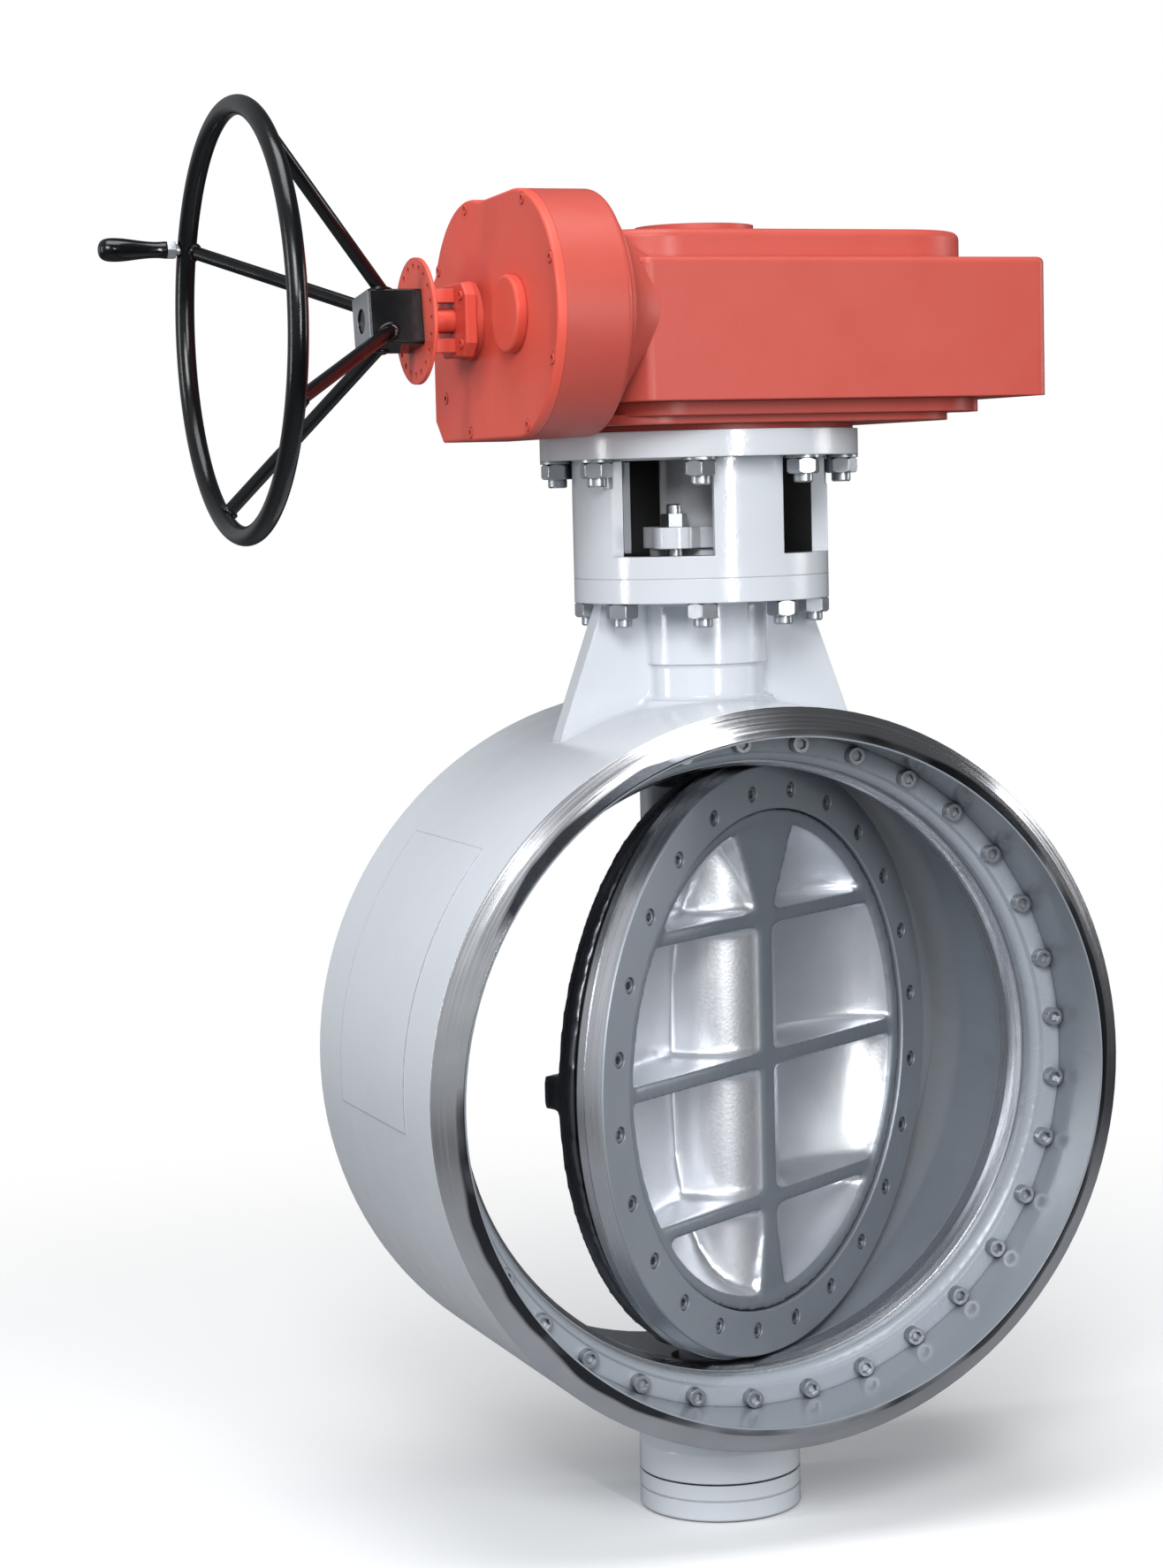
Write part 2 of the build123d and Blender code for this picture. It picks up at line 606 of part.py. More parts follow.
with BuildPart() as yoke:
    with BuildSketch(Plane.XY.offset(NECK_TOP_Z)):
        Circle(YOKE_R)
    extrude(amount=YOKE_TOP_Z - NECK_TOP_Z)
    with BuildSketch(Plane.XY.offset(YOKE_TOP_Z - TOP_FLANGE_T)):
        Circle(TOP_FLANGE_R)
    extrude(amount=TOP_FLANGE_T)
    with BuildSketch(Plane.XY.offset(NECK_TOP_Z)):
        Circle(94)
    extrude(amount=YOKE_TOP_Z - NECK_TOP_Z, mode=Mode.SUBTRACT)
    with BuildSketch(Plane.XY.offset(WINDOW_Z[0])):
        Circle(YOKE_R - YOKE_WALL)
    extrude(amount=YOKE_TOP_Z - WINDOW_Z[0], mode=Mode.SUBTRACT)
    # the four windows
    with BuildSketch(Plane.XY.offset(WINDOW_Z[0])):
        with Locations([Location((0, 0), turn) for turn in WINDOW_TURNS]):
            reach = 200
            half = reach * tan(radians(WINDOW_SPREAD / 2))
            Polygon((0, 0), (reach, -half), (reach, half), align=None)
    extrude(amount=WINDOW_Z[1] - WINDOW_Z[0], mode=Mode.SUBTRACT)
    with BuildSketch(Plane.XY.offset(NECK_TOP_Z)):
        with PolarLocations(YOKE_PCD / 2, STUDS, start_angle=STUD_START):
            Circle(STUD_R)
    extrude(amount=20, mode=Mode.SUBTRACT)
    with BuildSketch(Plane.XY.offset(YOKE_TOP_Z - TOP_FLANGE_T)):
        with PolarLocations(F30_PCD / 2, STUDS, start_angle=STUD_START):
            Circle(STUD_R)
    extrude(amount=TOP_FLANGE_T, mode=Mode.SUBTRACT)
    # spot faces for the washers under the top flange
    with BuildSketch(Plane.XY.offset(YOKE_TOP_Z - TOP_FLANGE_T)):
        with PolarLocations(F30_PCD / 2, STUDS, start_angle=STUD_START):
            Circle(18.4)
    extrude(amount=-30, mode=Mode.SUBTRACT)
save(yoke, "yoke")

with BuildPart() as yoke_studs:
    with BuildSketch(Plane.XY.offset(460)):
        with PolarLocations(YOKE_PCD / 2, STUDS, start_angle=STUD_START):
            Circle(STUD_R)
    extrude(amount=NECK_TOP_Z + 20 - 460)
    chamfer(yoke_studs.edges().group_by(Axis.Z)[0], 1.5)
save(yoke_studs, "yoke_studs")

NUT_R = 17.3                 # across corners of an M20 nut, as a radius
NUT_H = 16.0
with BuildPart() as yoke_nuts:
    with BuildSketch(Plane.XY.offset(NECK_TOP_Z - BODY_FLANGE_T - NUT_H)):
        with PolarLocations(YOKE_PCD / 2, STUDS, start_angle=STUD_START):
            RegularPolygon(NUT_R, 6, rotation=30)
        with PolarLocations(YOKE_PCD / 2, STUDS, start_angle=STUD_START):
            Circle(STUD_R, mode=Mode.SUBTRACT)
    extrude(amount=NUT_H)
save(yoke_nuts, "yoke_nuts")

FLANGE_UNDER_Z = YOKE_TOP_Z - TOP_FLANGE_T
WASHER_T = 3.0
with BuildPart() as gearbox_studs:
    with BuildSketch(Plane.XY.offset(FLANGE_UNDER_Z - 28)):
        with PolarLocations(F30_PCD / 2, STUDS, start_angle=STUD_START):
            Circle(STUD_R)
    extrude(amount=YOKE_TOP_Z + 20 - FLANGE_UNDER_Z + 28)
    chamfer(gearbox_studs.edges().group_by(Axis.Z)[0], 1.5)
save(gearbox_studs, "gearbox_studs")

with BuildPart() as gearbox_washers:
    with BuildSketch(Plane.XY.offset(FLANGE_UNDER_Z - WASHER_T)):
        with PolarLocations(F30_PCD / 2, STUDS, start_angle=STUD_START):
            Circle(18)
            Circle(STUD_R, mode=Mode.SUBTRACT)
    extrude(amount=WASHER_T)
save(gearbox_washers, "gearbox_washers")

with BuildPart() as gearbox_nuts:
    with BuildSketch(Plane.XY.offset(FLANGE_UNDER_Z - WASHER_T - NUT_H)):
        with PolarLocations(F30_PCD / 2, STUDS, start_angle=STUD_START):
            RegularPolygon(NUT_R, 6, rotation=30)
        with PolarLocations(F30_PCD / 2, STUDS, start_angle=STUD_START):
            Circle(STUD_R, mode=Mode.SUBTRACT)
    extrude(amount=NUT_H)
save(gearbox_nuts, "gearbox_nuts")

# ---- Worm gear housing ---------------------------------------------------------------------------
WHEEL_CAVITY_R = 132.0
BOX_FRONT_Y = -215.0
BOX_BACK_Y = 150.0
BOX_LEFT_X = -176.0
BOX_RIGHT_X = 299.0
WORM_BORE_R = 46.0
WHEEL_HUB_R = 62.0
BUSH_T = 10.0
BASE_TOP_Z = BOX_Z[0]

with BuildPart() as gearbox_base:
    with BuildSketch(Plane.XY.offset(YOKE_TOP_Z)):
        Circle(162)
    extrude(amount=10)
    with BuildSketch(Plane.XY.offset(YOKE_TOP_Z + 6)):
        with Locations((30, -10)):
            RectangleRounded(400, 330, 70)
    extrude(amount=10)
    with BuildSketch(Plane.XY.offset(YOKE_TOP_Z + 14)):
        with Locations((48, -14)):
            RectangleRounded(400, 350, 60)
        with Locations((240, -120)):
            RectangleRounded(40, 44, 12)
    extrude(amount=BASE_TOP_Z - YOKE_TOP_Z - 14)
    with BuildSketch(Plane.XY.offset(YOKE_TOP_Z)):
        Circle(WHEEL_HUB_R + BUSH_T)
    extrude(amount=BASE_TOP_Z - YOKE_TOP_Z, mode=Mode.SUBTRACT)
    with BuildSketch(Plane.XY.offset(YOKE_TOP_Z)):
        with PolarLocations(F30_PCD / 2, STUDS, start_angle=STUD_START):
            Circle(STUD_R)
    extrude(amount=20, mode=Mode.SUBTRACT)
save(gearbox_base, "gearbox_base")

worm_axis = Axis((0, WORM_Y, DRIVE_Z), (1, 0, 0))
NECK_MIDDLE = (-150, WORM_Y - 76)
NECK_POINTS = [
    (-112, WORM_Y - 52),
    (-112, WORM_Y),
    (CASE_BACK_X, WORM_Y),
    (CASE_BACK_X, WORM_Y - 104),
    (CASE_BACK_X + 8, WORM_Y - 104),
]

with BuildPart() as gearbox_housing:
    with BuildSketch(Plane.XY.offset(BOX_Z[0])):
        with BuildLine():
            Polyline(
                (BOX_LEFT_X + 36, BOX_FRONT_Y),
                (BOX_RIGHT_X, BOX_FRONT_Y),
                (BOX_RIGHT_X, BOX_BACK_Y),
                (BOX_LEFT_X, BOX_BACK_Y),
                (BOX_LEFT_X, BOX_FRONT_Y + 36),
                close=True,
            )
        make_face()
    extrude(amount=BOX_Z[1] - BOX_Z[0])
    fillet(gearbox_housing.edges().filter_by(Axis.Z), 12)
    fillet(gearbox_housing.faces().sort_by(Axis.Z)[-1].edges(), 6)
    # flared neck between the spur gear case and the box, round the worm axis
    with BuildSketch(Plane.XY.offset(DRIVE_Z)):
        with BuildLine():
            neck = Polyline(*NECK_POINTS)
            ThreePointArc(neck @ 1, NECK_MIDDLE, neck @ 0)
        make_face()
    revolve(axis=worm_axis)
    # keep the neck clear of the yoke flange and of the base plate
    with BuildSketch(Plane.XY.offset(600)):
        Rectangle(900, 900)
    extrude(amount=YOKE_TOP_Z + 12 - 600, mode=Mode.SUBTRACT)
    with BuildSketch(Plane.XY.offset(600)):
        with Locations((-153, 0)):
            Rectangle(400, 900, align=(Align.MIN, Align.CENTER))
    extrude(amount=BOX_Z[0] - 600, mode=Mode.SUBTRACT)
    # wheel cavity, worm bore and the space at the far end
    with BuildSketch(Plane.XY.offset(BOX_Z[0] + 12)):
        Circle(WHEEL_CAVITY_R)
    extrude(amount=BOX_Z[1], mode=Mode.SUBTRACT)
    with BuildSketch(Plane.XY.offset(BOX_Z[0])):
        Circle(WHEEL_HUB_R + BUSH_T)
    extrude(amount=20, mode=Mode.SUBTRACT)
    with BuildSketch(Plane.YZ.offset(CASE_BACK_X)):
        with Locations((WORM_Y, DRIVE_Z)):
            Circle(WORM_BORE_R)
    extrude(amount=BOX_RIGHT_X - 14 - CASE_BACK_X, mode=Mode.SUBTRACT)
    with BuildSketch(Plane.XY.offset(BOX_Z[0] + 12)):
        with Locations((182, 20)):
            RectangleRounded(66, 160, 16)
    extrude(amount=BOX_Z[1], mode=Mode.SUBTRACT)
save(gearbox_housing, "gearbox_housing")

COVER_CENTRE = (36, -20)
COVER_SIZE = (428, 322)
COVER_CORNER_R = 88.0
COVER_SCREWS = (168, 116)    # spacing of the corner screws from the middle
BOSS_R = 62.0                # low round boss over the stem, with the position window in it
BOSS_H = 15.0
with BuildPart() as gearbox_cover:
    with BuildSketch(Plane.XY.offset(BOX_Z[1])):
        with Locations(COVER_CENTRE):
            RectangleRounded(*COVER_SIZE, COVER_CORNER_R)
    extrude(amount=COVER_TOP_Z - BOX_Z[1])
    fillet(gearbox_cover.faces().sort_by(Axis.Z)[-1].edges(), 8)
    # the flared neck of the housing passes through the front left corner
    with BuildSketch(Plane.XY.offset(DRIVE_Z)):
        with BuildLine():
            neck = Polyline(*NECK_POINTS)
            ThreePointArc(neck @ 1, NECK_MIDDLE, neck @ 0)
        make_face()
    revolve(axis=worm_axis, mode=Mode.SUBTRACT)
    with BuildSketch(Plane.XY.offset(COVER_TOP_Z - 1)):
        Circle(BOSS_R)
    extrude(amount=BOSS_H + 1)
    with BuildSketch(Plane.XY.offset(BOX_Z[1])):
        Circle(WHEEL_HUB_R + BUSH_T)
    extrude(amount=12, mode=Mode.SUBTRACT)
    with BuildSketch(Plane.XY.offset(BOX_Z[1])):
        Circle(INDICATOR_R + 0.3)
    extrude(amount=60, mode=Mode.SUBTRACT)
    with BuildSketch(Plane.XY.offset(POINTER_Z - 4)):
        Circle(INDICATOR_WINDOW_R)
    extrude(amount=20, mode=Mode.SUBTRACT)
    with BuildSketch(Plane.XY.offset(COVER_TOP_Z - 8)):
        with Locations(COVER_CENTRE):
            with GridLocations(2 * COVER_SCREWS[0], COVER_SCREWS[1], 2, 3):
                Circle(8)
    extrude(amount=8, mode=Mode.SUBTRACT)
save(gearbox_cover, "gearbox_cover")

with BuildPart() as gearbox_cover_screws:
    with BuildSketch(Plane.XY.offset(COVER_TOP_Z - 8)):
        with Locations(COVER_CENTRE):
            with GridLocations(2 * COVER_SCREWS[0], COVER_SCREWS[1], 2, 3):
                Circle(7.6)
            with GridLocations(2 * COVER_SCREWS[0], COVER_SCREWS[1], 2, 3):
                RegularPolygon(4.6, 6, mode=Mode.SUBTRACT)
    extrude(amount=7.6)
save(gearbox_cover_screws, "gearbox_cover_screws")

with BuildPart() as wheel_lower_bush:
    with BuildSketch(Plane.XY.offset(YOKE_TOP_Z)):
        Circle(WHEEL_HUB_R + BUSH_T)
        Circle(WHEEL_HUB_R + RUNNING, mode=Mode.SUBTRACT)
    extrude(amount=BOX_Z[0] + 12 - YOKE_TOP_Z)
save(wheel_lower_bush, "wheel_lower_bush")

with BuildPart() as wheel_upper_bush:
    with BuildSketch(Plane.XY.offset(BOX_Z[1])):
        Circle(WHEEL_HUB_R + BUSH_T)
        Circle(WHEEL_HUB_R + RUNNING, mode=Mode.SUBTRACT)
    extrude(amount=12)
save(wheel_upper_bush, "wheel_upper_bush")

# ---- Worm wheel, position pointer and its window ---------------------------------------------------
WHEEL_PITCH_R = WORM_MODULE * WHEEL_TEETH / 2
WHEEL_FACE = 24.0
WHEEL_TOOTH_HALF = 3.1       # half thickness of a tooth at the pitch circle
WORM_LEAD = pi * WORM_MODULE

with BuildPart() as worm_wheel:
    with BuildSketch(Plane.XY.offset(DRIVE_Z - WHEEL_FACE / 2)):
        Circle(WHEEL_PITCH_R - 7.2)
        tooth_step = 360 / WHEEL_TEETH
        with PolarLocations(WHEEL_PITCH_R, WHEEL_TEETH, start_angle=-90 + tooth_step / 2):
            Polygon(
                (-8, -WHEEL_TOOTH_HALF - 2.8),
                (5.4, -WHEEL_TOOTH_HALF + 1.9),
                (5.4, WHEEL_TOOTH_HALF - 1.9),
                (-8, WHEEL_TOOTH_HALF + 2.8),
                align=None,
            )
    extrude(amount=WHEEL_FACE)
    with BuildSketch(Plane.XY.offset(YOKE_TOP_Z + 1)):
        Circle(WHEEL_HUB_R)
    extrude(amount=HUB_TOP_Z - YOKE_TOP_Z - 1)
    with BuildSketch(Plane.XY.offset(YOKE_TOP_Z + 1)):
        Circle(STEM_R)
    extrude(amount=HUB_TOP_Z - YOKE_TOP_Z - 1, mode=Mode.SUBTRACT)
    with BuildSketch(Plane.XY.offset(KEY_Z)):
        with Locations((STEM_R, 0)):
            Rectangle(14, KEY_W)
    extrude(amount=HUB_TOP_Z - KEY_Z, mode=Mode.SUBTRACT)
save(worm_wheel, "worm_wheel")

with BuildPart() as position_pointer:
    with BuildSketch(Plane.XY.offset(POINTER_Z)):
        Circle(16)
        with BuildLine():
            Polyline((-7, 0), (-4, -38), (4, -38), (7, 0), close=True)
        make_face()
    extrude(amount=4)
save(position_pointer, "position_pointer")

with BuildPart() as indicator_window:
    with BuildSketch(Plane.XY.offset(COVER_TOP_Z + BOSS_H - 5)):
        Circle(INDICATOR_WINDOW_R)
    extrude(amount=4)
save(indicator_window, "indicator_window")

# ---- Spur gear case --------------------------------------------------------------------------------
CASE_R = 121.0
CASE_WALL = 10.0
CASE_COVER_T = 10.0
worm_spot = (-WORM_Y, DRIVE_Z)
input_spot = (-INPUT_Y, DRIVE_Z)


def case_outline(radius, corner):
    """Two round ends with a square lower corner under the input shaft, in facing_handwheel planes."""
    with Locations(worm_spot):
        Circle(radius)
    with Locations(input_spot):
        Circle(radius)
    Polygon(
        (worm_spot[0], DRIVE_Z + radius),
        (input_spot[0] - 20, DRIVE_Z + radius - 6),
        (input_spot[0] - radius, DRIVE_Z + 44),
        (input_spot[0] - radius - 0.5, DRIVE_Z - radius + corner),
        (input_spot[0] - radius + corner, DRIVE_Z - radius),
        (worm_spot[0], DRIVE_Z - radius),
        align=None,
    )


CASE_SCREW_R = 113.0
case_screw_spots = [
    (spot[0] + CASE_SCREW_R * cos(radians(a)), DRIVE_Z + CASE_SCREW_R * sin(radians(a)))
    for spot, angles in ((worm_spot, (-75, -25, 25, 75)), (input_spot, (95, 150, 180, 222, 265)))
    for a in angles
]

with BuildPart() as spur_case:
    with BuildSketch(facing_handwheel(CASE_BACK_X)):
        case_outline(CASE_R, 22)
    extrude(amount=CASE_BACK_X - CASE_X - CASE_COVER_T)
    fillet(spur_case.edges().group_by(Axis.X)[-1], 7)
    with BuildSketch(facing_handwheel(CASE_BACK_X - CASE_WALL)):
        case_outline(CASE_R - CASE_WALL, 12)
    extrude(amount=CASE_BACK_X - CASE_X, mode=Mode.SUBTRACT)
    with BuildSketch(facing_handwheel(CASE_BACK_X)):
        with Locations(worm_spot):
            Circle(WORM_BORE_R)
    extrude(amount=CASE_WALL, mode=Mode.SUBTRACT)
    # seat of the inner bearing of the input shaft
    with BuildSketch(facing_handwheel(CASE_BACK_X - CASE_WALL)):
        with Locations(input_spot):
            Circle(30)
            Circle(20, mode=Mode.SUBTRACT)
    extrude(amount=12)
save(spur_case, "spur_case")

with BuildPart() as spur_case_cover:
    with BuildSketch(facing_handwheel(CASE_X + CASE_COVER_T)):
        case_outline(CASE_R, 22)
    extrude(amount=CASE_COVER_T)
    fillet(spur_case_cover.faces().sort_by(Axis.X)[0].edges(), 3)
    with BuildSketch(facing_handwheel(CASE_X)):
        with Locations(input_spot):
            Circle(40)
    extrude(amount=8)
    with BuildSketch(facing_handwheel(CASE_X + CASE_COVER_T)):
        with Locations(input_spot):
            Circle(24)
        with Locations(worm_spot):
            Circle(22)
    extrude(amount=CASE_COVER_T + 8, mode=Mode.SUBTRACT)
    with BuildSketch(facing_handwheel(CASE_X + 4)):
        with Locations(*case_screw_spots):
            Circle(6)
    extrude(amount=10, mode=Mode.SUBTRACT)
save(spur_case_cover, "spur_case_cover")

with BuildPart() as spur_case_screws:
    with BuildSketch(facing_handwheel(CASE_X + 4)):
        with Locations(*case_screw_spots):
            Circle(5.6)
        with Locations(*case_screw_spots):
            RegularPolygon(3.2, 6, mode=Mode.SUBTRACT)
    extrude(amount=5)
save(spur_case_screws, "spur_case_screws")

SHAFT_R = 12.5
PLATE_HALF = (42.0, 37.0)
CAP_SCREW_SPACING = (58.0, 48.0)
with BuildPart() as input_bearing_cap:
    with BuildSketch(facing_handwheel(CASE_X - 8)) as cap_outline:
        with Locations(input_spot):
            Rectangle(2 * PLATE_HALF[0], 2 * PLATE_HALF[1])
        chamfer(cap_outline.vertices(), 13)
        with Locations(input_spot):
            Circle(SHAFT_R + 0.3, mode=Mode.SUBTRACT)
    extrude(amount=12)
    fillet(input_bearing_cap.faces().sort_by(Axis.X)[0].outer_wire().edges(), 2)
    with BuildSketch(facing_handwheel(CASE_X - 17)):
        with Locations(input_spot):
            with GridLocations(*CAP_SCREW_SPACING, 2, 2):
                Circle(5)
    extrude(amount=4, mode=Mode.SUBTRACT)
save(input_bearing_cap, "input_bearing_cap")

with BuildPart() as input_cap_screws:
    with BuildSketch(facing_handwheel(CASE_X - 17)):
        with Locations(input_spot):
            with GridLocations(*CAP_SCREW_SPACING, 2, 2):
                Circle(4.8)
            with GridLocations(*CAP_SCREW_SPACING, 2, 2):
                RegularPolygon(2.6, 6, mode=Mode.SUBTRACT)
    extrude(amount=5)
save(input_cap_screws, "input_cap_screws")

with BuildPart() as worm_end_cap:
    with BuildSketch(facing_handwheel(CASE_X)):
        with Locations(worm_spot):
            Circle(38)
    extrude(amount=11)
    fillet(worm_end_cap.faces().sort_by(Axis.X)[0].edges(), 3)
save(worm_end_cap, "worm_end_cap")

with BuildPart() as lock_posts:
    with BuildSketch(facing_handwheel(CASE_X - 20)):
        with Locations(input_spot):
            with GridLocations(0, 50, 1, 2):
                Rectangle(20, 14)
    extrude(amount=32)
save(lock_posts, "lock_posts")

# ---- Bearings of the two drive shafts ----------------------------------------------------------------
WORM_SHAFT_R = 20.0
with BuildPart() as worm_bearings:
    for face_x in (-112.0, 134.0):
        with BuildSketch(facing_handwheel(face_x)):
            with Locations(worm_spot):
                Circle(WORM_BORE_R)
                Circle(WORM_SHAFT_R + RUNNING, mode=Mode.SUBTRACT)
        extrude(amount=22)
save(worm_bearings, "worm_bearings")

with BuildPart() as input_bearings:
    with BuildSketch(facing_handwheel(CASE_X + CASE_COVER_T)):
        with Locations(input_spot):
            Circle(24)
            Circle(SHAFT_R + RUNNING, mode=Mode.SUBTRACT)
    extrude(amount=16)
    with BuildSketch(facing_handwheel(CASE_BACK_X - CASE_WALL)):
        with Locations(input_spot):
            Circle(20)
            Circle(SHAFT_R + RUNNING, mode=Mode.SUBTRACT)
    extrude(amount=12)
save(input_bearings, "input_bearings")

# ---- Worm shaft and spur gears -------------------------------------------------------------------------
WORM_ROOT_R = 27.0
WORM_TURNS = 5


def spur_profile(teeth, centre, first_angle, bore):
    """Involute spur gear, drawn about centre with its first tooth at first_angle."""
    pitch_r = SPUR_MODULE * teeth / 2
    base_r = pitch_r * cos(radians(20))
    outer_r = pitch_r + SPUR_MODULE - 0.2
    root_r = pitch_r - 1.25 * SPUR_MODULE
    inv_pitch = tan(radians(20)) - radians(20)
    half_pitch_angle = pi / (2 * teeth) - 0.22 / pitch_r
    flank = []
    for step in range(5):
        r = max(base_r, root_r) + (outer_r - max(base_r, root_r)) * step / 4
        pressure = acos(min(1, base_r / r))
        spread = half_pitch_angle + inv_pitch - (tan(pressure) - pressure)
        flank.append((r * cos(spread), r * sin(spread)))
    foot = (root_r - 1, flank[0][1])
    outline = [foot] + flank
    mirrored = [(x, -y) for x, y in reversed(outline)]
    with Locations(centre):
        Circle(root_r)
        with PolarLocations(0, teeth, start_angle=first_angle):
            Polygon(*outline, *mirrored, align=None)
        Circle(bore, mode=Mode.SUBTRACT)


thread_start = (-2.75 * WORM_LEAD, WORM_Y, DRIVE_Z)
with BuildPart() as worm_shaft:
    with BuildLine():
        thread_path = Helix(WORM_LEAD, WORM_LEAD * WORM_TURNS, 35, center=thread_start, direction=(1, 0, 0))
    outward = (thread_path @ 0) - Vector(thread_start)
    with BuildSketch(Plane(origin=thread_path @ 0, x_dir=outward, z_dir=thread_path % 0)):
        Polygon((-9, -5.6), (5.4, -2.0), (5.4, 2.0), (-9, 5.6), align=None)
    sweep(path=thread_path, is_frenet=True)
    with BuildSketch(facing_handwheel(60)):
        with Locations(worm_spot):
            Circle(WORM_ROOT_R)
    extrude(amount=120)
    with BuildSketch(facing_handwheel(150)):
        with Locations(worm_spot):
            Circle(WORM_SHAFT_R)
    extrude(amount=150 - CASE_X - 8)
save(worm_shaft, "worm_shaft")

GEAR_X = -202.0
GEAR_FACE = 26.0
with BuildPart() as spur_gear:
    with BuildSketch(facing_handwheel(GEAR_X - 3)):
        spur_profile(GEAR_TEETH, worm_spot, 180, WORM_SHAFT_R)
    extrude(amount=GEAR_FACE)
save(spur_gear, "spur_gear")

with BuildPart() as input_pinion:
    with BuildSketch(facing_handwheel(GEAR_X - 1)):
        spur_profile(PINION_TEETH, input_spot, 180 / PINION_TEETH, SHAFT_R)
    extrude(amount=GEAR_FACE)
save(input_pinion, "input_pinion")

# ---- Handwheel ---------------------------------------------------------------------------------------
PLATE_X = -314.0
PLATE_T = 4.0
PLATE_R = 63.5
HUB_SIZE = 56.0
HUB_END_X = -374.0
HUB_TURN = 8.0               # the square hub stands a little turned
SPOKES = 4
SPOKE_R = 7.0
SPOKE_START = 23.7           # first spoke, up from +Y
SPINDLE_R = 6.0
hub_back_x = PLATE_X - PLATE_T

with BuildPart() as input_shaft:
    with BuildSketch(facing_handwheel(CASE_BACK_X - CASE_WALL - 1)):
        with Locations(input_spot):
            Circle(SHAFT_R)
    extrude(amount=CASE_BACK_X - CASE_WALL - 1 - HUB_END_X - 2)
save(input_shaft, "input_shaft")

with BuildPart() as index_plate:
    with BuildSketch(facing_handwheel(PLATE_X)):
        with Locations(input_spot):
            Circle(PLATE_R)
            with PolarLocations(54, 20):
                Circle(3, mode=Mode.SUBTRACT)
            Circle(SHAFT_R, mode=Mode.SUBTRACT)
    extrude(amount=PLATE_T)
save(index_plate, "index_plate")

with BuildPart() as handwheel_hub:
    with BuildSketch(facing_handwheel(hub_back_x)):
        with Locations(Location(input_spot, HUB_TURN)):
            Rectangle(HUB_SIZE, HUB_SIZE)
    extrude(amount=hub_back_x - HUB_END_X)
    fillet(handwheel_hub.edges().filter_by(Axis.X), 3)
    chamfer(handwheel_hub.faces().sort_by(Axis.X)[0].edges(), 1.5)
    with BuildSketch(facing_handwheel(hub_back_x)):
        with Locations(input_spot):
            Circle(SHAFT_R)
    extrude(amount=hub_back_x - HUB_END_X, mode=Mode.SUBTRACT)
save(handwheel_hub, "handwheel_hub")

wheel_centre = Vector(WHEEL_X, INPUT_Y, DRIVE_Z)


def wheel_point(angle, radius, x):
    """Point at an angle round the handwheel, counted from +Y towards +Z."""
    return Vector(x, INPUT_Y + radius * cos(radians(angle)), DRIVE_Z + radius * sin(radians(angle)))


grip_spot = wheel_point(SPOKE_START, WHEEL_R, WHEEL_X)
grip_yz = (-grip_spot.Y, grip_spot.Z)

with BuildPart() as handwheel_rim:
    with BuildSketch(Plane.XY.offset(DRIVE_Z)):
        with Locations((WHEEL_X, INPUT_Y + WHEEL_R)):
            Circle(RIM_R)
    revolve(axis=Axis(wheel_centre, (1, 0, 0)))
save(handwheel_rim, "handwheel_rim")

with BuildPart() as handwheel_spokes:
    for spoke in range(SPOKES):
        angle = SPOKE_START + 360 / SPOKES * spoke
        inner = wheel_point(angle, 20, -346)
        outer = wheel_point(angle, WHEEL_R - 1, WHEEL_X + 1)
        with BuildSketch(Plane(origin=inner, z_dir=outer - inner)):
            Circle(SPOKE_R)
        extrude(amount=(outer - inner).length)
    with BuildSketch(Plane.XY.offset(DRIVE_Z)):
        with Locations((WHEEL_X, INPUT_Y + WHEEL_R)):
            Circle(RIM_R)
    revolve(axis=Axis(wheel_centre, (1, 0, 0)), mode=Mode.SUBTRACT)
    with BuildSketch(facing_handwheel(hub_back_x)):
        with Locations(Location(input_spot, HUB_TURN)):
            Rectangle(HUB_SIZE, HUB_SIZE)
    extrude(amount=hub_back_x - HUB_END_X, mode=Mode.SUBTRACT)
save(handwheel_spokes, "handwheel_spokes")

GRIP_X = WHEEL_X - 23.0      # inner end of the grip
GRIP_L = 70.0
with BuildPart() as grip_spindle:
    with BuildSketch(facing_handwheel(WHEEL_X)):
        with Locations(grip_yz):
            Circle(SPINDLE_R)
    extrude(amount=13)
    # its end is shaped to the rim's tube, where it is welded on
    with BuildSketch(Plane.XY.offset(DRIVE_Z)):
        with Locations((WHEEL_X, INPUT_Y + WHEEL_R)):
            Circle(RIM_R)
    revolve(axis=Axis(wheel_centre, (1, 0, 0)), mode=Mode.SUBTRACT)
    with BuildSketch(facing_handwheel(WHEEL_X - 13)):
        with Locations(grip_yz):
            RegularPolygon(10, 6)
    extrude(amount=9)
    with BuildSketch(facing_handwheel(WHEEL_X - 22)):
        with Locations(grip_yz):
            Circle(5)
    extrude(amount=GRIP_L - 8)
save(grip_spindle, "grip_spindle")

with BuildPart() as handwheel_grip:
    with BuildSketch(Plane.XY.offset(grip_spot.Z)):
        with BuildLine():
            side = Spline(
                (GRIP_X, grip_spot.Y + 9),
                (GRIP_X - 12, grip_spot.Y + 8.4),
                (GRIP_X - 34, grip_spot.Y + 10.5),
                (GRIP_X - 56, grip_spot.Y + 12.2),
                (GRIP_X - GRIP_L + 3, grip_spot.Y + 9.5),
                (GRIP_X - GRIP_L, grip_spot.Y + 5),
            )
            Polyline(
                side @ 1,
                (GRIP_X - GRIP_L, grip_spot.Y),
                (GRIP_X - GRIP_L + 8, grip_spot.Y),
                (GRIP_X - GRIP_L + 8, grip_spot.Y + 5.06),
                (GRIP_X, grip_spot.Y + 5.06),
                side @ 0,
            )
        make_face()
    revolve(axis=Axis(grip_spot, (1, 0, 0)))
save(handwheel_grip, "handwheel_grip")
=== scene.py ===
from math import cos, radians, sin

